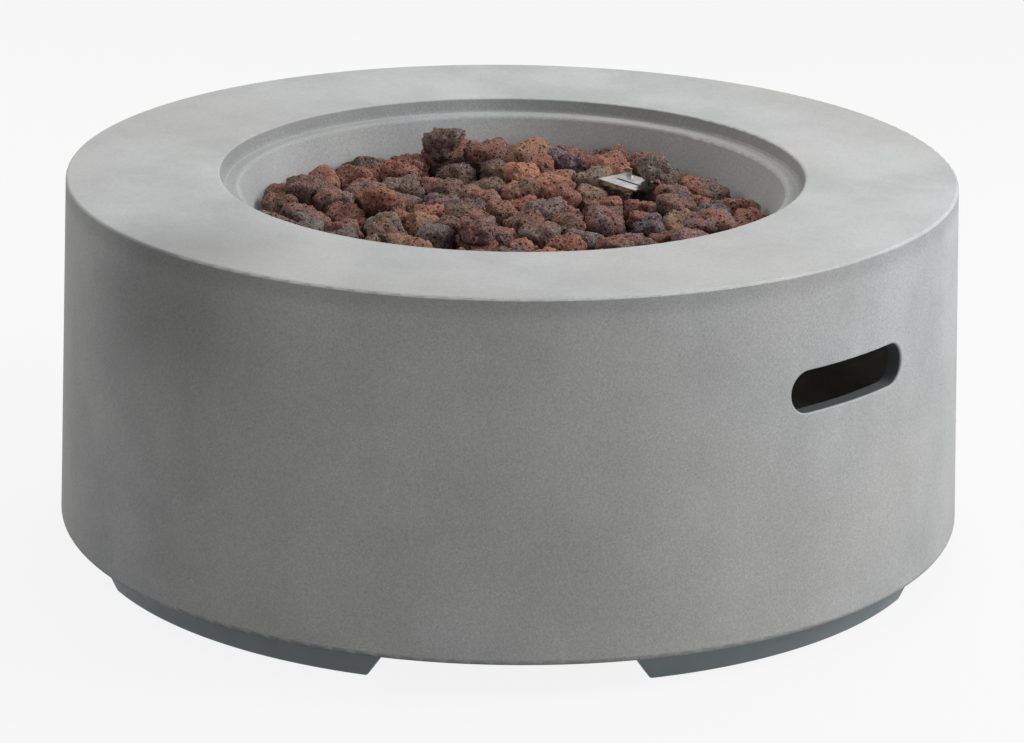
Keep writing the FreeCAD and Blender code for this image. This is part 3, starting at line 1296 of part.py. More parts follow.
def clear_of_hood(block, seed):
    """Cut a rock by the side of the hood, or of its foot, that it stands beyond."""
    margin = ROCK_GAP + 0.2
    leg = HOOD_LEG_WIDTH / 2 + margin
    half = HOOD_LENGTH / 2 + margin
    lug = HOOD_LUG_INSET - HOOD_LENGTH / 2
    spaces = (
        ((-half, half), (HOOD_INNER - margin, HOOD_OUTER + margin), HOOD_TOP + margin),
        ((lug - margin, lug + HOOD_LUG + margin), (HOOD_OUTER - HOOD_SHEET - margin, HOOD_OUTER + margin),
         HOOD_TOP + HOOD_LUG_HEIGHT + margin),
        ((-leg, leg), (HOOD_OUTER, HOOD_OUTER + HOOD_FOOT + margin),
         BOWL_FLOOR + HOOD_SHEET + HOOD_SCREW_HEAD_HEIGHT + margin),
    )
    place = hood_local(seed)
    turn = FreeCAD.Rotation(Z_AXIS, -PILOT_ANGLE)
    for (x_low, x_high), (y_low, y_high), top in spaces:
        sides = [(x_low - place.x, VECTOR(1, 0, 0), x_low), (place.x - x_high, VECTOR(-1, 0, 0), -x_high),
                 (y_low - place.y, VECTOR(0, 1, 0), y_low), (place.y - y_high, VECTOR(0, -1, 0), -y_high),
                 (place.z - top, VECTOR(0, 0, -1), -top)]
        limits = [block.reach(turn.multVec(VECTOR(*way))) for way in
                  ((-1, 0, 0), (1, 0, 0), (0, -1, 0), (0, 1, 0), (0, 0, -1))]
        overlaps = (-limits[0] < x_high and limits[1] > x_low and -limits[2] < y_high
                    and limits[3] > y_low and -limits[4] < top)
        if overlaps:
            beyond, normal, edge = max(sides, key=lambda side: side[0])
            block.cut(turn.multVec(normal), edge)
    return block


def make_lava_rocks():
    """The bed of rocks, each clear of its neighbours by the same small gap."""
    chance = random.Random(ROCK_SEED)
    places = rock_seeds(chance)
    seeds = [seed for seed, largest in places]
    rocks = []
    for seed, largest in places:
        for attempt in range(ROCK_TRIES):
            block = rock_block(seed, largest, seeds, chance)
            if block.thickness() > ROCK_LEAST_SIZE and block.shortest_edge() > ROCK_SHORTEST_EDGE:
                break
        if block.thickness() > ROCK_LEAST_SIZE:
            rocks.append(block.solid())
    print("lava rocks:", len(rocks), "from", len(seeds), "places")
    return Part.makeCompound(rocks)


def build_nodes():
    """Every sub-part by its name."""
    nodes = {"shell": make_shell()}
    for number, angle in enumerate(foot_angles(), 1):
        nodes["foot_%d" % number] = make_foot(angle)
    nodes["foot_screws"] = make_foot_screws()
    nodes["control_panel"] = make_control_panel()
    nodes["panel_screws"] = make_panel_screws()
    nodes["valve_body"] = make_valve_body()
    nodes["valve_screws"] = make_valve_screws()
    nodes["valve_rotor"] = make_valve_rotor()
    nodes["valve_stem"] = make_valve_stem()
    nodes["stem_spring"] = make_stem_spring()
    nodes["control_knob"] = make_control_knob()
    nodes["knob_bezel"] = make_knob_bezel()
    nodes["inlet_fitting"] = make_inlet_fitting()
    nodes["igniter_barrel"] = make_igniter_barrel()
    nodes["igniter_button"] = make_igniter_button()
    nodes["button_spring"] = make_button_spring()
    nodes["igniter_nut"] = make_igniter_nut()
    nodes["lead_boot"] = make_lead_boot()
    nodes["igniter_lead"] = make_igniter_lead()
    nodes["thermocouple_lead"] = make_thermocouple_lead()
    nodes["thermocouple_nut"] = make_thermocouple_nut()
    nodes["lead_clips"] = make_lead_clips()
    nodes["clip_screws"] = make_clip_screws()
    nodes["burner"] = make_burner()
    nodes["burner_riser"] = make_burner_riser()
    nodes["burner_inlet"] = make_burner_inlet()
    nodes["burner_washer"] = make_burner_washer()
    nodes["burner_nut"] = make_burner_nut()
    nodes["orifice_elbow"] = make_orifice_elbow()
    nodes["gas_tube"] = make_gas_tube()
    nodes["tube_nuts"] = make_tube_nuts()
    nodes["pilot_hood"] = make_pilot_hood()
    nodes["hood_screws"] = make_hood_screws()
    nodes["electrode_ceramic"] = make_electrode_ceramic()
    nodes["electrode_rod"] = make_electrode_rod()
    nodes["thermocouple"] = make_thermocouple()
    nodes["floor_grommet"] = make_floor_grommet()
    nodes["lava_rocks"] = make_lava_rocks()
    return nodes


os.makedirs("parts", exist_ok=True)
for name, shape in build_nodes().items():
    shape.exportStep("parts/" + name + ".step")
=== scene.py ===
import math
import random

import bmesh
import bpy
from mathutils import Matrix, Vector, noise


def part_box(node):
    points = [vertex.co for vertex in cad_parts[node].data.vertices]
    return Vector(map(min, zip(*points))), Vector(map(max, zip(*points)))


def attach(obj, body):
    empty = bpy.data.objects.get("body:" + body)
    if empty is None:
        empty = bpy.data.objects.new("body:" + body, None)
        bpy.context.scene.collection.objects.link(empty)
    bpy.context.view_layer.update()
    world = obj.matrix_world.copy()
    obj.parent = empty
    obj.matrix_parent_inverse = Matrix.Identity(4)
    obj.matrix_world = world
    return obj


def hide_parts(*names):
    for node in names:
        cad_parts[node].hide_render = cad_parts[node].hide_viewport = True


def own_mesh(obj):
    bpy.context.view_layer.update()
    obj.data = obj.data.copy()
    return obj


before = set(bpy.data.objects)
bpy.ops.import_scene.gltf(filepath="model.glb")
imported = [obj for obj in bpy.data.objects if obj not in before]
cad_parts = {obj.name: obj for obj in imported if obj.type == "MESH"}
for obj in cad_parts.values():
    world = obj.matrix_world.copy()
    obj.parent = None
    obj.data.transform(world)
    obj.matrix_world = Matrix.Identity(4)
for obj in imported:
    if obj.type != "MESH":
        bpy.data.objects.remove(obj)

for leftover in ("Cube", "Light", "Camera"):
    if leftover in bpy.data.objects:
        bpy.data.objects.remove(bpy.data.objects[leftover])
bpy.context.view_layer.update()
print("frame loaded:", len(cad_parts), "nodes")


# Shader maths

class Wire:
    # One output in a material, so that its maths reads as ordinary maths
    def __init__(self, tree, socket=None):
        self.tree = tree
        self.socket = socket

    def node(self, kind, settings=None, sockets=None, out=0):
        made = self.tree.nodes.new("ShaderNode" + kind)
        for name, value in (settings or {}).items():
            setattr(made, name, value)
        for name, value in (sockets or {}).items():
            if isinstance(value, Wire):
                self.tree.links.new(value.socket, made.inputs[name])
            else:
                made.inputs[name].default_value = value
        return Wire(self.tree, made.outputs[out] if made.outputs else None)

    def math(self, operation, *values):
        # One Math node of all these values, in their order
        return self.node("Math", {"operation": operation}, dict(enumerate(values)))

    def __add__(self, other):
        return self.math("ADD", self, other)

    def __radd__(self, other):
        return self.math("ADD", other, self)

    def __sub__(self, other):
        return self.math("SUBTRACT", self, other)

    def __rsub__(self, other):
        return self.math("SUBTRACT", other, self)

    def __mul__(self, other):
        return self.math("MULTIPLY", self, other)

    def __rmul__(self, other):
        return self.math("MULTIPLY", other, self)

    def size(self):
        return self.math("ABSOLUTE", self)

    def root(self):
        return self.math("SQRT", self)

    def most(self, other):
        return self.math("MAXIMUM", self, other)

    def over(self, edge):
        # 1 where the value is over the edge, 0 elsewhere
        return self.math("GREATER_THAN", self, edge)

    def noise(self, scale, detail, roughness, out=0):
        sockets = {"Vector": self, "Scale": scale, "Detail": detail, "Roughness": roughness}
        return self.node("TexNoise", {}, sockets, out)

    def cells(self, scale):
        # How far it is to the middle of the nearest cell
        return self.node("TexVoronoi", {}, {"Vector": self, "Scale": scale})

    def stretched(self, scale):
        return self.node("Mapping", {}, {"Vector": self, "Scale": scale})

    def along(self, axis):
        return self.node("SeparateXYZ", {}, {0: self}, axis)

    def rising(self, low, high, bottom=0.0, top=1.0):
        # From bottom to top as the value goes from low to high, smoothly
        sockets = {0: self, 1: low, 2: high, 3: bottom, 4: top}
        return self.node("MapRange", {"interpolation_type": "SMOOTHSTEP"}, sockets)

    def mixed(self, first, second):
        # Colour between first and second, with this value as the share of second
        return self.node("Mix", {"data_type": "RGBA"}, {0: self, 6: first, 7: second}, 2)

    def scaled(self, share):
        # This colour or vector times a value
        return self.node("VectorMath", {"operation": "SCALE"}, {0: self, "Scale": share})

    def bumped(self, strength, depth):
        return self.node("Bump", {}, {"Strength": strength, "Distance": depth, "Height": self})


def linear(level):
    share = level / 255
    return share / 12.92 if share <= 0.04045 else ((share + 0.055) / 1.055) ** 2.4


def shade(red, green=None, blue=None):
    # A colour as a paint chart gives it, 0 to 255, made linear
    levels = (red, red if green is None else green, red if blue is None else blue)
    return [linear(level) for level in levels] + [1.0]


def emptyTree(owner):
    # The nodes of a material or a world, with none in it yet
    owner.use_nodes = True
    owner.node_tree.nodes.clear()
    return owner.node_tree


def startMaterial(name):
    # A new material, and the point on the piece as a wire
    material = bpy.data.materials.new(name)
    return material, Wire(emptyTree(material)).node("TexCoord", out=3)


def endMaterial(spot, **sockets):
    # One shader with these values and wires, shown on the surface
    named = {name.replace("_", " "): value for name, value in sockets.items()}
    surface = spot.node("BsdfPrincipled", {}, named)
    surface.node("OutputMaterial", {}, {"Surface": surface})


# Finishes. A noise is given as scale, detail and roughness, and a span as its two ends.

concreteLook = {
    "pale": shade(193, 194, 194), "deep": shade(175, 177, 177), "warm": shade(184, 182, 177),
    "clouds": (9.0, 5.0, 0.6), "cloudSpan": (0.3, 0.7),
    "patches": (2.6, 3.0, 0.5), "patchSpan": (0.35, 0.65), "patchShare": 0.5,
    "grain": (330.0, 3.0, 0.7), "grainSpan": (0.3, 0.7), "grainTone": (0.94, 1.06),
    "specks": (640.0, 1.0, 0.5), "speckSpan": (0.25, 0.75), "speckContrast": 0.115,
    "pinholeScale": 62.0, "pinholeSpan": (0.0225, 0.045), "pinholeShade": 0.45,
    "topLevel": 0.3745, "topSmoothness": 0.7,
    "edgeRadius": 0.43, "edgeBand": (0.352, 0.368), "edgeShade": 0.15,
    "bowlRadius": 0.2897, "bowlFoot": 0.25, "bowlShade": 0.17,
    "recess": (0.3635, 0.3758), "recessShade": 0.25,
    "paintedShadePlace": (-0.02, -0.44, 0.345), "paintedShadeReach": 0.17, "paintedShadeDepth": 0.34,
    "roughness": (0.75, 0.89), "gloss": 0.3,
    "grainRelief": 0.6, "speckRelief": 0.4, "pinholeRelief": 1.5, "bump": 0.35, "bumpDepth": 0.00025,
}
# Painted shade inside the two hand holds: its colour, and where the holds are
handholdShadeLook = {
    "tone": shade(84, 87, 87), "middle": 0.263, "half": (0.0802, 0.0215),
    "skin": 0.4505, "taper": 0.0323, "blend": (-0.0002, 0.0012), "innermost": 0.4,
}


def outAndUp(spot):
    # Distance from the table's axis, and height
    x, y, z = (spot.along(axis) for axis in range(3))
    return (x * x + y * y).root(), z


def handholdShadeShare(spot, look):
    # 1 on the faces inside the two hand holds, which take a painted shade, 0 on the rest
    radius, z = outAndUp(spot)
    halfWidth, halfHeight = look["half"]
    across = 1 - spot.along(1).size().over(halfWidth)
    level = 1 - (z - look["middle"]).size().over(halfHeight)
    depth = look["skin"] - z * look["taper"] - radius
    return across * level * depth.rising(*look["blend"]) * radius.over(look["innermost"])


def makeConcrete(look, holdShadeLook):
    material, spot = startMaterial("castConcrete")
    clouds = spot.noise(*look["clouds"]).rising(*look["cloudSpan"])
    patches = spot.noise(*look["patches"]).rising(*look["patchSpan"])
    base = clouds.mixed(look["deep"], look["pale"])
    base = (patches * look["patchShare"]).mixed(base, look["warm"])
    grain = spot.noise(*look["grain"])
    specks = spot.noise(*look["specks"])
    pinholes = 1 - spot.cells(look["pinholeScale"]).rising(*look["pinholeSpan"])
    radius, z = outAndUp(spot)
    top = z.over(look["topLevel"])
    edge = radius.over(look["edgeRadius"]) * z.rising(*look["edgeBand"]) * (1 - top)
    bowl = (1 - radius.over(look["bowlRadius"])) * z.over(look["bowlFoot"])
    low, high = look["recess"]
    recess = bowl * z.over(low) * (1 - z.over(high))
    contrast = (1 - top * look["topSmoothness"]) * look["speckContrast"]
    speckTone = specks.rising(*look["speckSpan"], -1.0, 1.0) * contrast + 1
    tone = grain.rising(*look["grainSpan"], *look["grainTone"]) * speckTone
    masks = {"pinholeShade": pinholes, "bowlShade": bowl, "recessShade": recess, "edgeShade": edge}
    for name, mask in masks.items():
        tone = tone * (1 - mask * look[name])
    # Painted shade: a soft dark patch on the side just below the rim, darkest at its middle
    away = spot.node("VectorMath", {"operation": "DISTANCE"}, {0: spot, 1: look["paintedShadePlace"]}, 1)
    tone = tone * away.rising(0.0, look["paintedShadeReach"], 1 - look["paintedShadeDepth"], 1.0)
    height = grain * look["grainRelief"] + specks * look["speckRelief"] - pinholes * look["pinholeRelief"]
    # The faces inside the hand holds take the colour of their painted shade
    endMaterial(spot, Base_Color=handholdShadeShare(spot, holdShadeLook).mixed(base.scaled(tone), holdShadeLook["tone"]),
                Roughness=grain.rising(*look["grainSpan"], *look["roughness"]),
                Specular_IOR_Level=look["gloss"], Normal=height.bumped(look["bump"], look["bumpDepth"]))
    return material


plasticLooks = {
    "foot_plastic": {"name": "footPlastic", "colour": shade(122, 130, 132),
                     "rough": 0.55, "grain": 900.0, "bumpDepth": 0.00012},
    "knob_plastic": {"name": "knobPlastic", "colour": shade(38, 38, 39),
                     "rough": 0.42, "grain": 1400.0, "bumpDepth": 0.00008},
    "lead_rubber": {"name": "leadRubber", "colour": shade(48, 47, 46),
                    "rough": 0.62, "grain": 700.0, "bumpDepth": 0.0001},
    "ceramic": {"name": "glazedCeramic", "colour": shade(232, 228, 216),
                "rough": 0.22, "grain": 260.0, "bumpDepth": 0.00004},
}
# What all of them share: a fine grain, and dust that pales and dulls the colour
plasticWear = {
    "grainKind": (2.0, 0.6), "bump": 0.4,
    "dust": (24.0, 4.0, 0.6), "dustSpan": (0.35, 0.75), "dustShare": 0.7,
    "paleGain": 1.25, "paleLift": 0.012, "roughChange": (-0.05, 0.08),
}


def makePlastic(look, wear):
    material, spot = startMaterial(look["name"])
    grain = spot.noise(look["grain"], *wear["grainKind"])
    dust = spot.noise(*wear["dust"]).rising(*wear["dustSpan"])
    paler = [min(1.0, level * wear["paleGain"] + wear["paleLift"]) for level in look["colour"][:3]]
    roughness = (look["rough"] + change for change in wear["roughChange"])
    endMaterial(spot, Base_Color=(dust * wear["dustShare"]).mixed(look["colour"], paler + [1.0]),
                Roughness=dust.rising(0.0, 1.0, *roughness),
                Normal=grain.bumped(wear["bump"], look["bumpDepth"]))
    return material


metalLooks = {
    "zinc_steel": {"name": "zincSteel", "colour": shade(196, 197, 199), "stain": shade(150, 150, 150),
                   "rough": 0.36, "grain": (300.0, 300.0, 300.0)},
    "panel_steel": {"name": "brushedPanel", "colour": shade(198, 198, 198), "stain": shade(176, 176, 177),
                    "rough": 0.3, "grain": (14.0, 900.0, 900.0)},
    "burner_steel": {"name": "burnerSteel", "colour": shade(202, 201, 199), "stain": shade(120, 114, 106),
                     "rough": 0.16, "grain": (40.0, 700.0, 700.0)},
    "burner_tube": {"name": "heatedBurnerTube", "colour": shade(142, 132, 122), "stain": shade(88, 74, 68),
                    "rough": 0.4, "grain": (220.0, 220.0, 220.0)},
    "brass": {"name": "machinedBrass", "colour": shade(206, 172, 104), "stain": shade(160, 124, 70),
              "rough": 0.32, "grain": (260.0, 260.0, 700.0)},
    "tube_aluminium": {"name": "drawnAluminium", "colour": shade(212, 213, 215),
                       "stain": shade(186, 187, 190), "rough": 0.34, "grain": (500.0, 60.0, 500.0)},
    "spring_steel": {"name": "springSteel", "colour": shade(150, 150, 152), "stain": shade(112, 108, 104),
                     "rough": 0.3, "grain": (400.0, 400.0, 400.0)},
    "copper": {"name": "copperTube", "colour": shade(206, 142, 112), "stain": shade(146, 92, 70),
               "rough": 0.34, "grain": (300.0, 300.0, 300.0)},
}
# What all of them share: the brush marks that each one's grain stretches, and stains
metalWear = {
    "brush": (1.0, 3.0, 0.6), "brushSpan": (0.25, 0.75), "roughChange": (-0.06, 0.1),
    "stains": (38.0, 5.0, 0.6), "stainSpan": (0.4, 0.75), "bump": 0.25, "bumpDepth": 0.00006,
}


def makeMetal(look, wear):
    material, spot = startMaterial(look["name"])
    brush = spot.stretched(look["grain"]).noise(*wear["brush"])
    stains = spot.noise(*wear["stains"]).rising(*wear["stainSpan"])
    roughness = (look["rough"] + change for change in wear["roughChange"])
    endMaterial(spot, Metallic=1.0, Base_Color=stains.mixed(look["colour"], look["stain"]),
                Roughness=brush.rising(*wear["brushSpan"], *roughness),
                Normal=brush.bumped(wear["bump"], wear["bumpDepth"]))
    return material


lavaLook = {
    "warp": (150.0, 2.0, 0.5), "warpReach": 0.004, "grain": (430.0, 3.0, 0.7),
    "poreScale": 430.0, "poreSpan": (0.36, 0.62), "holeScale": 215.0, "holeSpan": (0.2, 0.36),
    "sootAndHoleShade": shade(44, 31, 28), "sootShare": 0.5, "holeShade": 0.92,
    "dust": shade(226, 196, 180), "dustSpan": (0.5, 0.62), "dustShare": 0.62,
    "poreRelief": 0.8, "holeRelief": 1.4, "grainRelief": 0.25, "bumpDepth": 0.0013,
    "roughness": 0.95, "gloss": 0.2,
}


def makeLava(look):
    material, spot = startMaterial("lavaRock")
    tint = spot.node("Attribute", {"attribute_name": "rockTint"})
    warp = spot.noise(*look["warp"], out=1).scaled(look["warpReach"])
    bent = spot.node("VectorMath", {"operation": "ADD"}, {0: spot, 1: warp})
    pores = 1 - bent.cells(look["poreScale"]).rising(*look["poreSpan"])
    holes = 1 - bent.cells(look["holeScale"]).rising(*look["holeSpan"])
    grain = spot.noise(*look["grain"])
    # Pale specks at random: partly real dust, partly painted highlights
    dustAndHighlights = (grain.rising(*look["dustSpan"]) * look["dustShare"]).mixed(tint, look["dust"])
    # Every point is mixed half way towards soot; the holes go darker still, as painted shade in them
    sootAndHoleShadeShare = (holes * look["holeShade"]).most(look["sootShare"])
    height = 1 - pores * look["poreRelief"] - holes * look["holeRelief"] + grain * look["grainRelief"]
    endMaterial(spot, Base_Color=sootAndHoleShadeShare.mixed(dustAndHighlights, look["sootAndHoleShade"]), Roughness=look["roughness"],
                Specular_IOR_Level=look["gloss"], Normal=height.bumped(1.0, look["bumpDepth"]))
    return material


finishes = {"concrete": makeConcrete(concreteLook, handholdShadeLook), "lava": makeLava(lavaLook)}
finishes.update({slot: makePlastic(look, plasticWear) for slot, look in plasticLooks.items()})
finishes.update({slot: makeMetal(look, metalWear) for slot, look in metalLooks.items()})

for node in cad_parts.values():
    for place in node.material_slots:
        place.material = finishes.get(place.material.name.split(".")[0], place.material)
for name in ("burner", "burner_riser"):
    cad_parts[name].material_slots[0].material = finishes["burner_tube"]
print("finishes made:", len(finishes))


def makePiece(name, shape):
    # An object with this mesh, smooth all over
    for face in shape.faces:
        face.smooth = True
    mesh = bpy.data.meshes.new(name)
    shape.to_mesh(mesh)
    shape.free()
    piece = bpy.data.objects.new(name, mesh)
    bpy.context.scene.collection.objects.link(piece)
    return piece


# Lava rocks: each solid of the bed rounded, roughened and coloured by itself

rockLook = {
    "seed": 5, "rocksPerPiece": 36, "fineLevel": 4, "coarseLevel": 3, "hiddenBelow": 0.32,
    "joinWithin": 0.00002, "roundness": (4.5, 10.0), "leastLean": 0.02, "grow": 0.0008, "shift": 50,
    "lumps": ((40.0, 0.0070), (95.0, 0.0038), (210.0, 0.0024)), "lumpLevel": 0.15,
    "creaseScale": 90.0, "creaseWidth": 0.16, "creaseDepth": 0.0017,
    "pitScale": 240.0, "pitReach": 0.55, "pitDepth": 0.0022,
    "tintGain": 1.42, "tintScale": 38, "tintContrast": 1.6, "tintBlend": 0.8,
    "matchWithin": 8, "knownAbove": 0.3,
}
rockTints = {
    # colour, and how often it is drawn for a rock whose own isn't known
    "orange": ((204, 142, 114), 2), "rust": ((168, 110, 92), 5), "brick": ((158, 106, 94), 6),
    "mauve": ((144, 118, 117), 7), "umber": ((126, 100, 88), 6), "grey": ((134, 124, 119), 6),
    "charcoal": ((100, 91, 90), 5), "ochre": ((168, 138, 112), 3), "violet": ((122, 108, 124), 0),
}
drawnTints = [name for name, (colour, share) in rockTints.items() for copy in range(share)]
# Rocks whose tints are known, by the place of their middle in millimetres
knownRocks = (
    (-180, 83, "umber", "charcoal"), (-91, -99, "rust", "rust"), (-80, 96, "orange", "orange"),
    (-40, 100, "rust", "orange"), (-213, -8, "rust", "brick"), (-145, 182, "ochre", "orange"),
    (-194, 146, "rust", "brick"), (-178, 19, "rust", "brick"), (-56, -55, "orange", "rust"),
    (-35, -90, "orange", "ochre"), (51, -98, "brick", "mauve"), (-50, 191, "rust", "orange"),
    (-97, 184, "violet", "mauve"), (125, 62, "violet", "charcoal"), (131, 102, "ochre", "orange"),
    (94, 93, "brick", "rust"), (143, 140, "charcoal", "grey"), (179, 160, "rust", "brick"),
    (233, 27, "brick", "mauve"), (-160, 117, "brick", "charcoal"), (29, 178, "grey", "umber"),
    (68, 3, "brick", "umber"), (27, 17, "grey", "mauve"), (18, -126, "charcoal", "grey"),
)
# Rocks that lie lower or higher in the heap than their solids: place and rise in millimetres
settledRocks = (
    (-217, -105, -10), (-185, -103, -7), (-180, 83, 6), (-160, 117, 9), (-145, 182, 8),
    (-97, 203, -20), (-38, 235, -4), (63, 215, -8), (110, 215, -15), (179, 160, -10),
)


def rockCells(look):
    # Middle, top and faces of every solid in the bed
    cells = []
    bed = bmesh.new()
    bed.from_mesh(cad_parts["lava_rocks"].data)
    bmesh.ops.remove_doubles(bed, verts=bed.verts, dist=look["joinWithin"])
    bed.verts.ensure_lookup_table()
    seen = set()
    for start in bed.verts:
        if start.index in seen:
            continue
        group, edge = [], [start]
        seen.add(start.index)
        while edge:
            vert = edge.pop()
            group.append(vert)
            for link in vert.link_edges:
                other = link.other_vert(vert)
                if other.index not in seen:
                    seen.add(other.index)
                    edge.append(other)
        middle = sum((vert.co for vert in group), Vector()) / len(group)
        planes = {}
        for vert in group:
            for face in vert.link_faces:
                normal = face.normal.copy()
                distance = normal.dot(vert.co - middle)
                # Triangles of one flat face round to the same key
                key = tuple(round(part, 2) for part in normal) + (round(distance, 4),)
                planes[key] = (normal, distance)
        top = max(vert.co.z for vert in group)
        cells.append((middle, top, list(planes.values())))
    bed.free()
    cells.sort(key=lambda cell: tuple(round(part, 4) for part in cell[0]))
    return cells


def roundedReach(direction, planes, power, leastLean):
    # How far the rock goes in a direction: its nearest face, with soft corners
    total = 0.0
    for normal, distance in planes:
        lean = normal.dot(direction)
        if lean > leastLean:
            total += (lean / distance) ** power
    return total ** (-1 / power)


def rowOf(middle, rows, look):
    # What a table says about the rock with this middle, if it is there
    for x, y, *facts in rows:
        if math.hypot(middle.x * 1000 - x, middle.y * 1000 - y) < look["matchWithin"]:
            return facts
    return None


def tintsOf(middle, look, chance):
    known = rowOf(middle, knownRocks, look) if middle.z > look["knownAbove"] else None
    return known or (chance.choice(drawnTints), chance.choice(drawnTints))


def riseOf(middle, look):
    rise, = rowOf(middle, settledRocks, look) or (0,)
    return Vector((0.0, 0.0, rise / 1000))


def addRock(bed, tintLayer, cell, look, chance):
    middle, top, planes = cell
    fine = top > look["hiddenBelow"]
    power = chance.uniform(*look["roundness"])
    shift = Vector([chance.uniform(-look["shift"], look["shift"]) for axis in range(3)])
    first, second = (Vector(shade(*rockTints[name][0])[:3]) * look["tintGain"]
                     for name in tintsOf(middle, look, chance))
    middle = middle + riseOf(middle, look)
    level = look["fineLevel"] if fine else look["coarseLevel"]
    for vert in bmesh.ops.create_icosphere(bed, subdivisions=level, radius=1.0)["verts"]:
        direction = vert.co.normalized()
        reach = roundedReach(direction, planes, power, look["leastLean"]) + look["grow"]
        spot = direction * reach
        for scale, height in look["lumps"]:
            reach += height * (noise.noise(spot * scale + shift) - look["lumpLevel"])
        if fine:
            near = noise.voronoi(spot * look["creaseScale"] - shift)[0]
            crease = max(0.0, 1 - (near[1] - near[0]) / look["creaseWidth"])
            pit = max(0.0, 1 - noise.voronoi(spot * look["pitScale"] + shift)[0][0] / look["pitReach"])
            reach -= look["creaseDepth"] * crease + look["pitDepth"] * pit
        vert.co = middle + direction * reach
        share = 0.5 + look["tintContrast"] * noise.noise(spot * look["tintScale"] - shift)
        tint = first.lerp(second, min(1.0, max(0.0, share)) * look["tintBlend"])
        vert[tintLayer] = (tint.x, tint.y, tint.z, 1.0)


def makeRockBed(look):
    chance = random.Random(look["seed"])
    cells = rockCells(look)
    print("rocks:", len(cells))
    count = look["rocksPerPiece"]
    for number, start in enumerate(range(0, len(cells), count), 1):
        bed = bmesh.new()
        tintLayer = bed.verts.layers.float_color.new("rockTint")
        for cell in cells[start:start + count]:
            addRock(bed, tintLayer, cell, look, chance)
        piece = makePiece("lavaRocks%d" % number, bed)
        piece.data.materials.append(finishes["lava"])
        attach(piece, "root")
        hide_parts("lava_rocks")


makeRockBed(rockLook)
print("rock bed made")


# Wound return springs of the knob and the igniter

springLook = {"wire": 0.001, "wireSides": 8, "stepsPerTurn": 24}
springs = (
    # node, piece, push joint, travel, turns
    ("stem_spring", "stemSpring", "knob_push", 0.003, 4),
    ("button_spring", "buttonSpring", "igniter_push", 0.005, 9),
)


def makeSpring(look, node, name, joint, travel, turns):
    low, high = (Vector(corner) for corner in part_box(node))
    middle = (low + high) / 2
    thick = look["wire"] / 2
    start = Matrix.Translation((high.x - thick, low.y + thick, middle.z))
    steps = turns * look["stepsPerTurn"]
    rise = (high.y - low.y - look["wire"]) / steps
    coil = bmesh.new()
    bmesh.ops.create_circle(coil, segments=look["wireSides"], radius=thick, matrix=start)
    bmesh.ops.spin(coil, geom=coil.verts[:] + coil.edges[:], cent=middle, axis=(0.0, 1.0, 0.0),
                   dvec=(0.0, rise, 0.0), angle=math.tau * turns, steps=steps)
    ends = [edge for edge in coil.edges if edge.is_boundary]
    bmesh.ops.holes_fill(coil, edges=ends, sides=look["wireSides"])
    bmesh.ops.recalc_face_normals(coil, faces=coil.faces)
    piece = makePiece(name, coil)
    piece.data.materials.append(finishes["spring_steel"])
    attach(piece, "root")
    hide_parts(node)
    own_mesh(piece)


for spring in springs:
    makeSpring(springLook, *spring)
print("springs made:", len(springs))


# Floor, light and camera

stageLook = {
    "turn": 44.04,  # from the camera's own axes to the table's, degrees
    "floorSize": 40.0, "floorShown": shade(246), "floorBounce": 0.27, "shadowShare": 0.08, "glow": 1.033,
    "skyShown": 0.92, "skyLight": 0.31,
    "aim": (0.0, 0.0, 0.2),
}
lamps = (
    # name, azimuth from the camera's side towards its right, elevation, distance, size, power, colour
    ("sideSoftbox", 88.0, 34.0, 3.2, 1.7, 68.0, (0.99, 1.0, 1.02)),
    ("topSoftbox", 160.0, 74.0, 3.4, 2.4, 30.0, (1.0, 1.0, 1.0)),
    ("frontFill", 28.0, 10.0, 4.2, 2.2, 23.0, (1.0, 1.0, 1.01)),
    ("leftStrip", -124.0, 24.0, 3.0, 0.9, 20.0, (1.0, 0.975, 0.945)),
)
cameraLook = {
    "place": (0.0, -4.010, 1.45897), "pitch": 17.858, "yaw": 0.0305, "roll": 0.7497,
    "lens": 147.32, "sensor": 36.0, "sight": 100.0,
}


def seenOn(start, *kinds):
    # 1 on the rays that show the floor and the sky, 0 on those that light the table
    paths = start.node("LightPath").socket.node
    shown, *others = (Wire(start.tree, paths.outputs["Is %s Ray" % kind]) for kind in kinds)
    for other in others:
        shown = shown.most(other)
    return shown


def makeFloor(look):
    flat = bmesh.new()
    bmesh.ops.create_grid(flat, x_segments=1, y_segments=1, size=look["floorSize"] / 2)
    floor = makePiece("floor", flat)
    material = bpy.data.materials.new("paleFloor")
    start = Wire(emptyTree(material))
    plain = start.node("BsdfDiffuse", {}, {"Color": [look["floorBounce"]] * 3 + [1.0]})
    lit = start.node("BsdfDiffuse", {}, {"Color": look["floorShown"]})
    glow = start.node("Emission", {}, {"Color": look["floorShown"], "Strength": look["glow"]})
    pale = start.node("MixShader", {}, {0: look["shadowShare"], 1: glow, 2: lit})
    shown = seenOn(start, "Camera", "Glossy", "Transmission")
    mixed = start.node("MixShader", {}, {0: shown, 1: plain, 2: pale})
    mixed.node("OutputMaterial", {}, {"Surface": mixed})
    floor.data.materials.append(material)


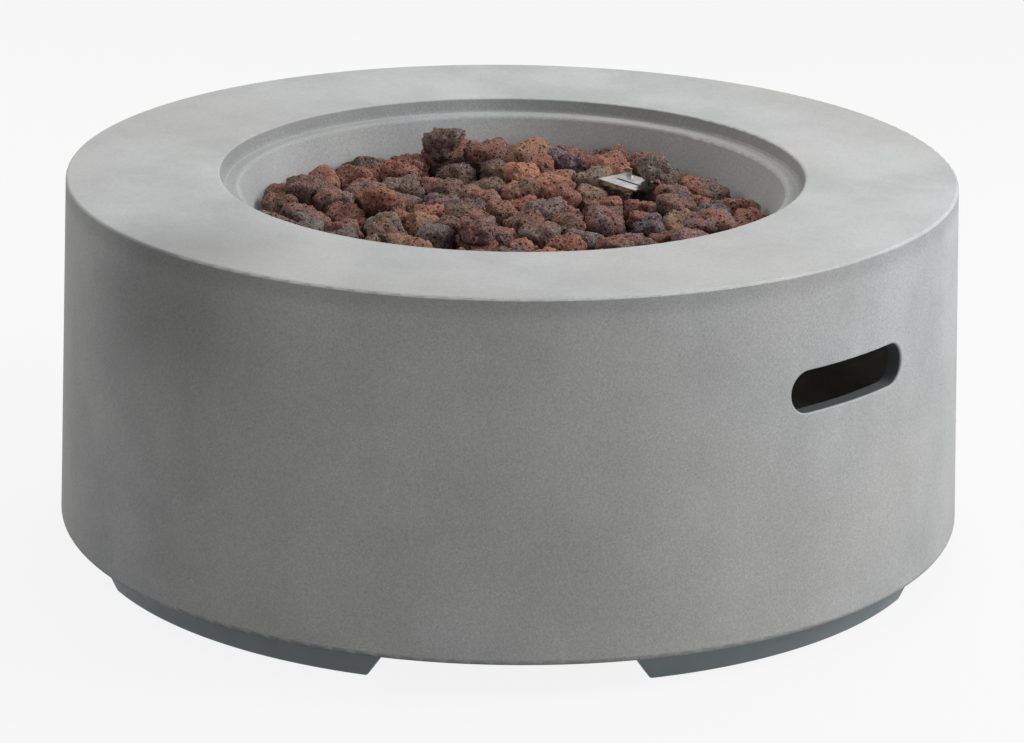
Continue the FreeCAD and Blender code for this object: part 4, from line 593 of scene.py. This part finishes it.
def makeSky(look):
    world = bpy.data.worlds.new("studio")
    bpy.context.scene.world = world
    start = Wire(emptyTree(world))
    level = seenOn(start, "Camera", "Glossy") * (look["skyShown"] - look["skyLight"]) + look["skyLight"]
    sky = start.node("Background", {}, {"Color": shade(255), "Strength": level})
    sky.node("OutputWorld", {}, {"Surface": sky})


def makeLamps(look):
    aim = Vector(look["aim"])
    for name, azimuth, elevation, distance, size, power, colour in lamps:
        turn = math.radians(azimuth + look["turn"])
        rise = math.radians(elevation)
        way = Vector((math.sin(turn) * math.cos(rise), -math.cos(turn) * math.cos(rise), math.sin(rise)))
        lamp = bpy.data.lights.new(name, "AREA")
        lamp.shape = "DISK"
        lamp.size = size
        lamp.energy = power
        lamp.color = colour
        holder = bpy.data.objects.new(name, lamp)
        facing = way.to_track_quat("Z", "Y").to_matrix().to_4x4()
        holder.matrix_world = Matrix.Translation(aim + way * distance) @ facing
        bpy.context.scene.collection.objects.link(holder)


def makeCamera(look, turn):
    yaw, pitch, roll = (math.radians(look[name]) for name in ("yaw", "pitch", "roll"))
    forward = Vector((math.sin(yaw) * math.cos(pitch), math.cos(yaw) * math.cos(pitch), -math.sin(pitch)))
    right = Vector((math.cos(yaw), -math.sin(yaw), 0.0))
    up = right.cross(forward)
    across = right * math.cos(roll) + up * math.sin(roll)
    above = up * math.cos(roll) - right * math.sin(roll)
    axes = Matrix((across, above, -forward)).transposed().to_4x4()
    spin = Matrix.Rotation(math.radians(turn), 4, "Z")
    data = bpy.data.cameras.new("photoCamera")
    data.lens = look["lens"]
    data.sensor_width = look["sensor"]
    data.clip_end = look["sight"]
    camera = bpy.data.objects.new("photoCamera", data)
    camera.matrix_world = spin @ Matrix.Translation(look["place"]) @ axes
    bpy.context.scene.collection.objects.link(camera)
    bpy.context.scene.camera = camera


makeFloor(stageLook)
makeSky(stageLook)
makeLamps(stageLook)
makeCamera(cameraLook, stageLook["turn"])
bpy.context.scene.view_settings.view_transform = "Standard"
print("floor, light and camera set")
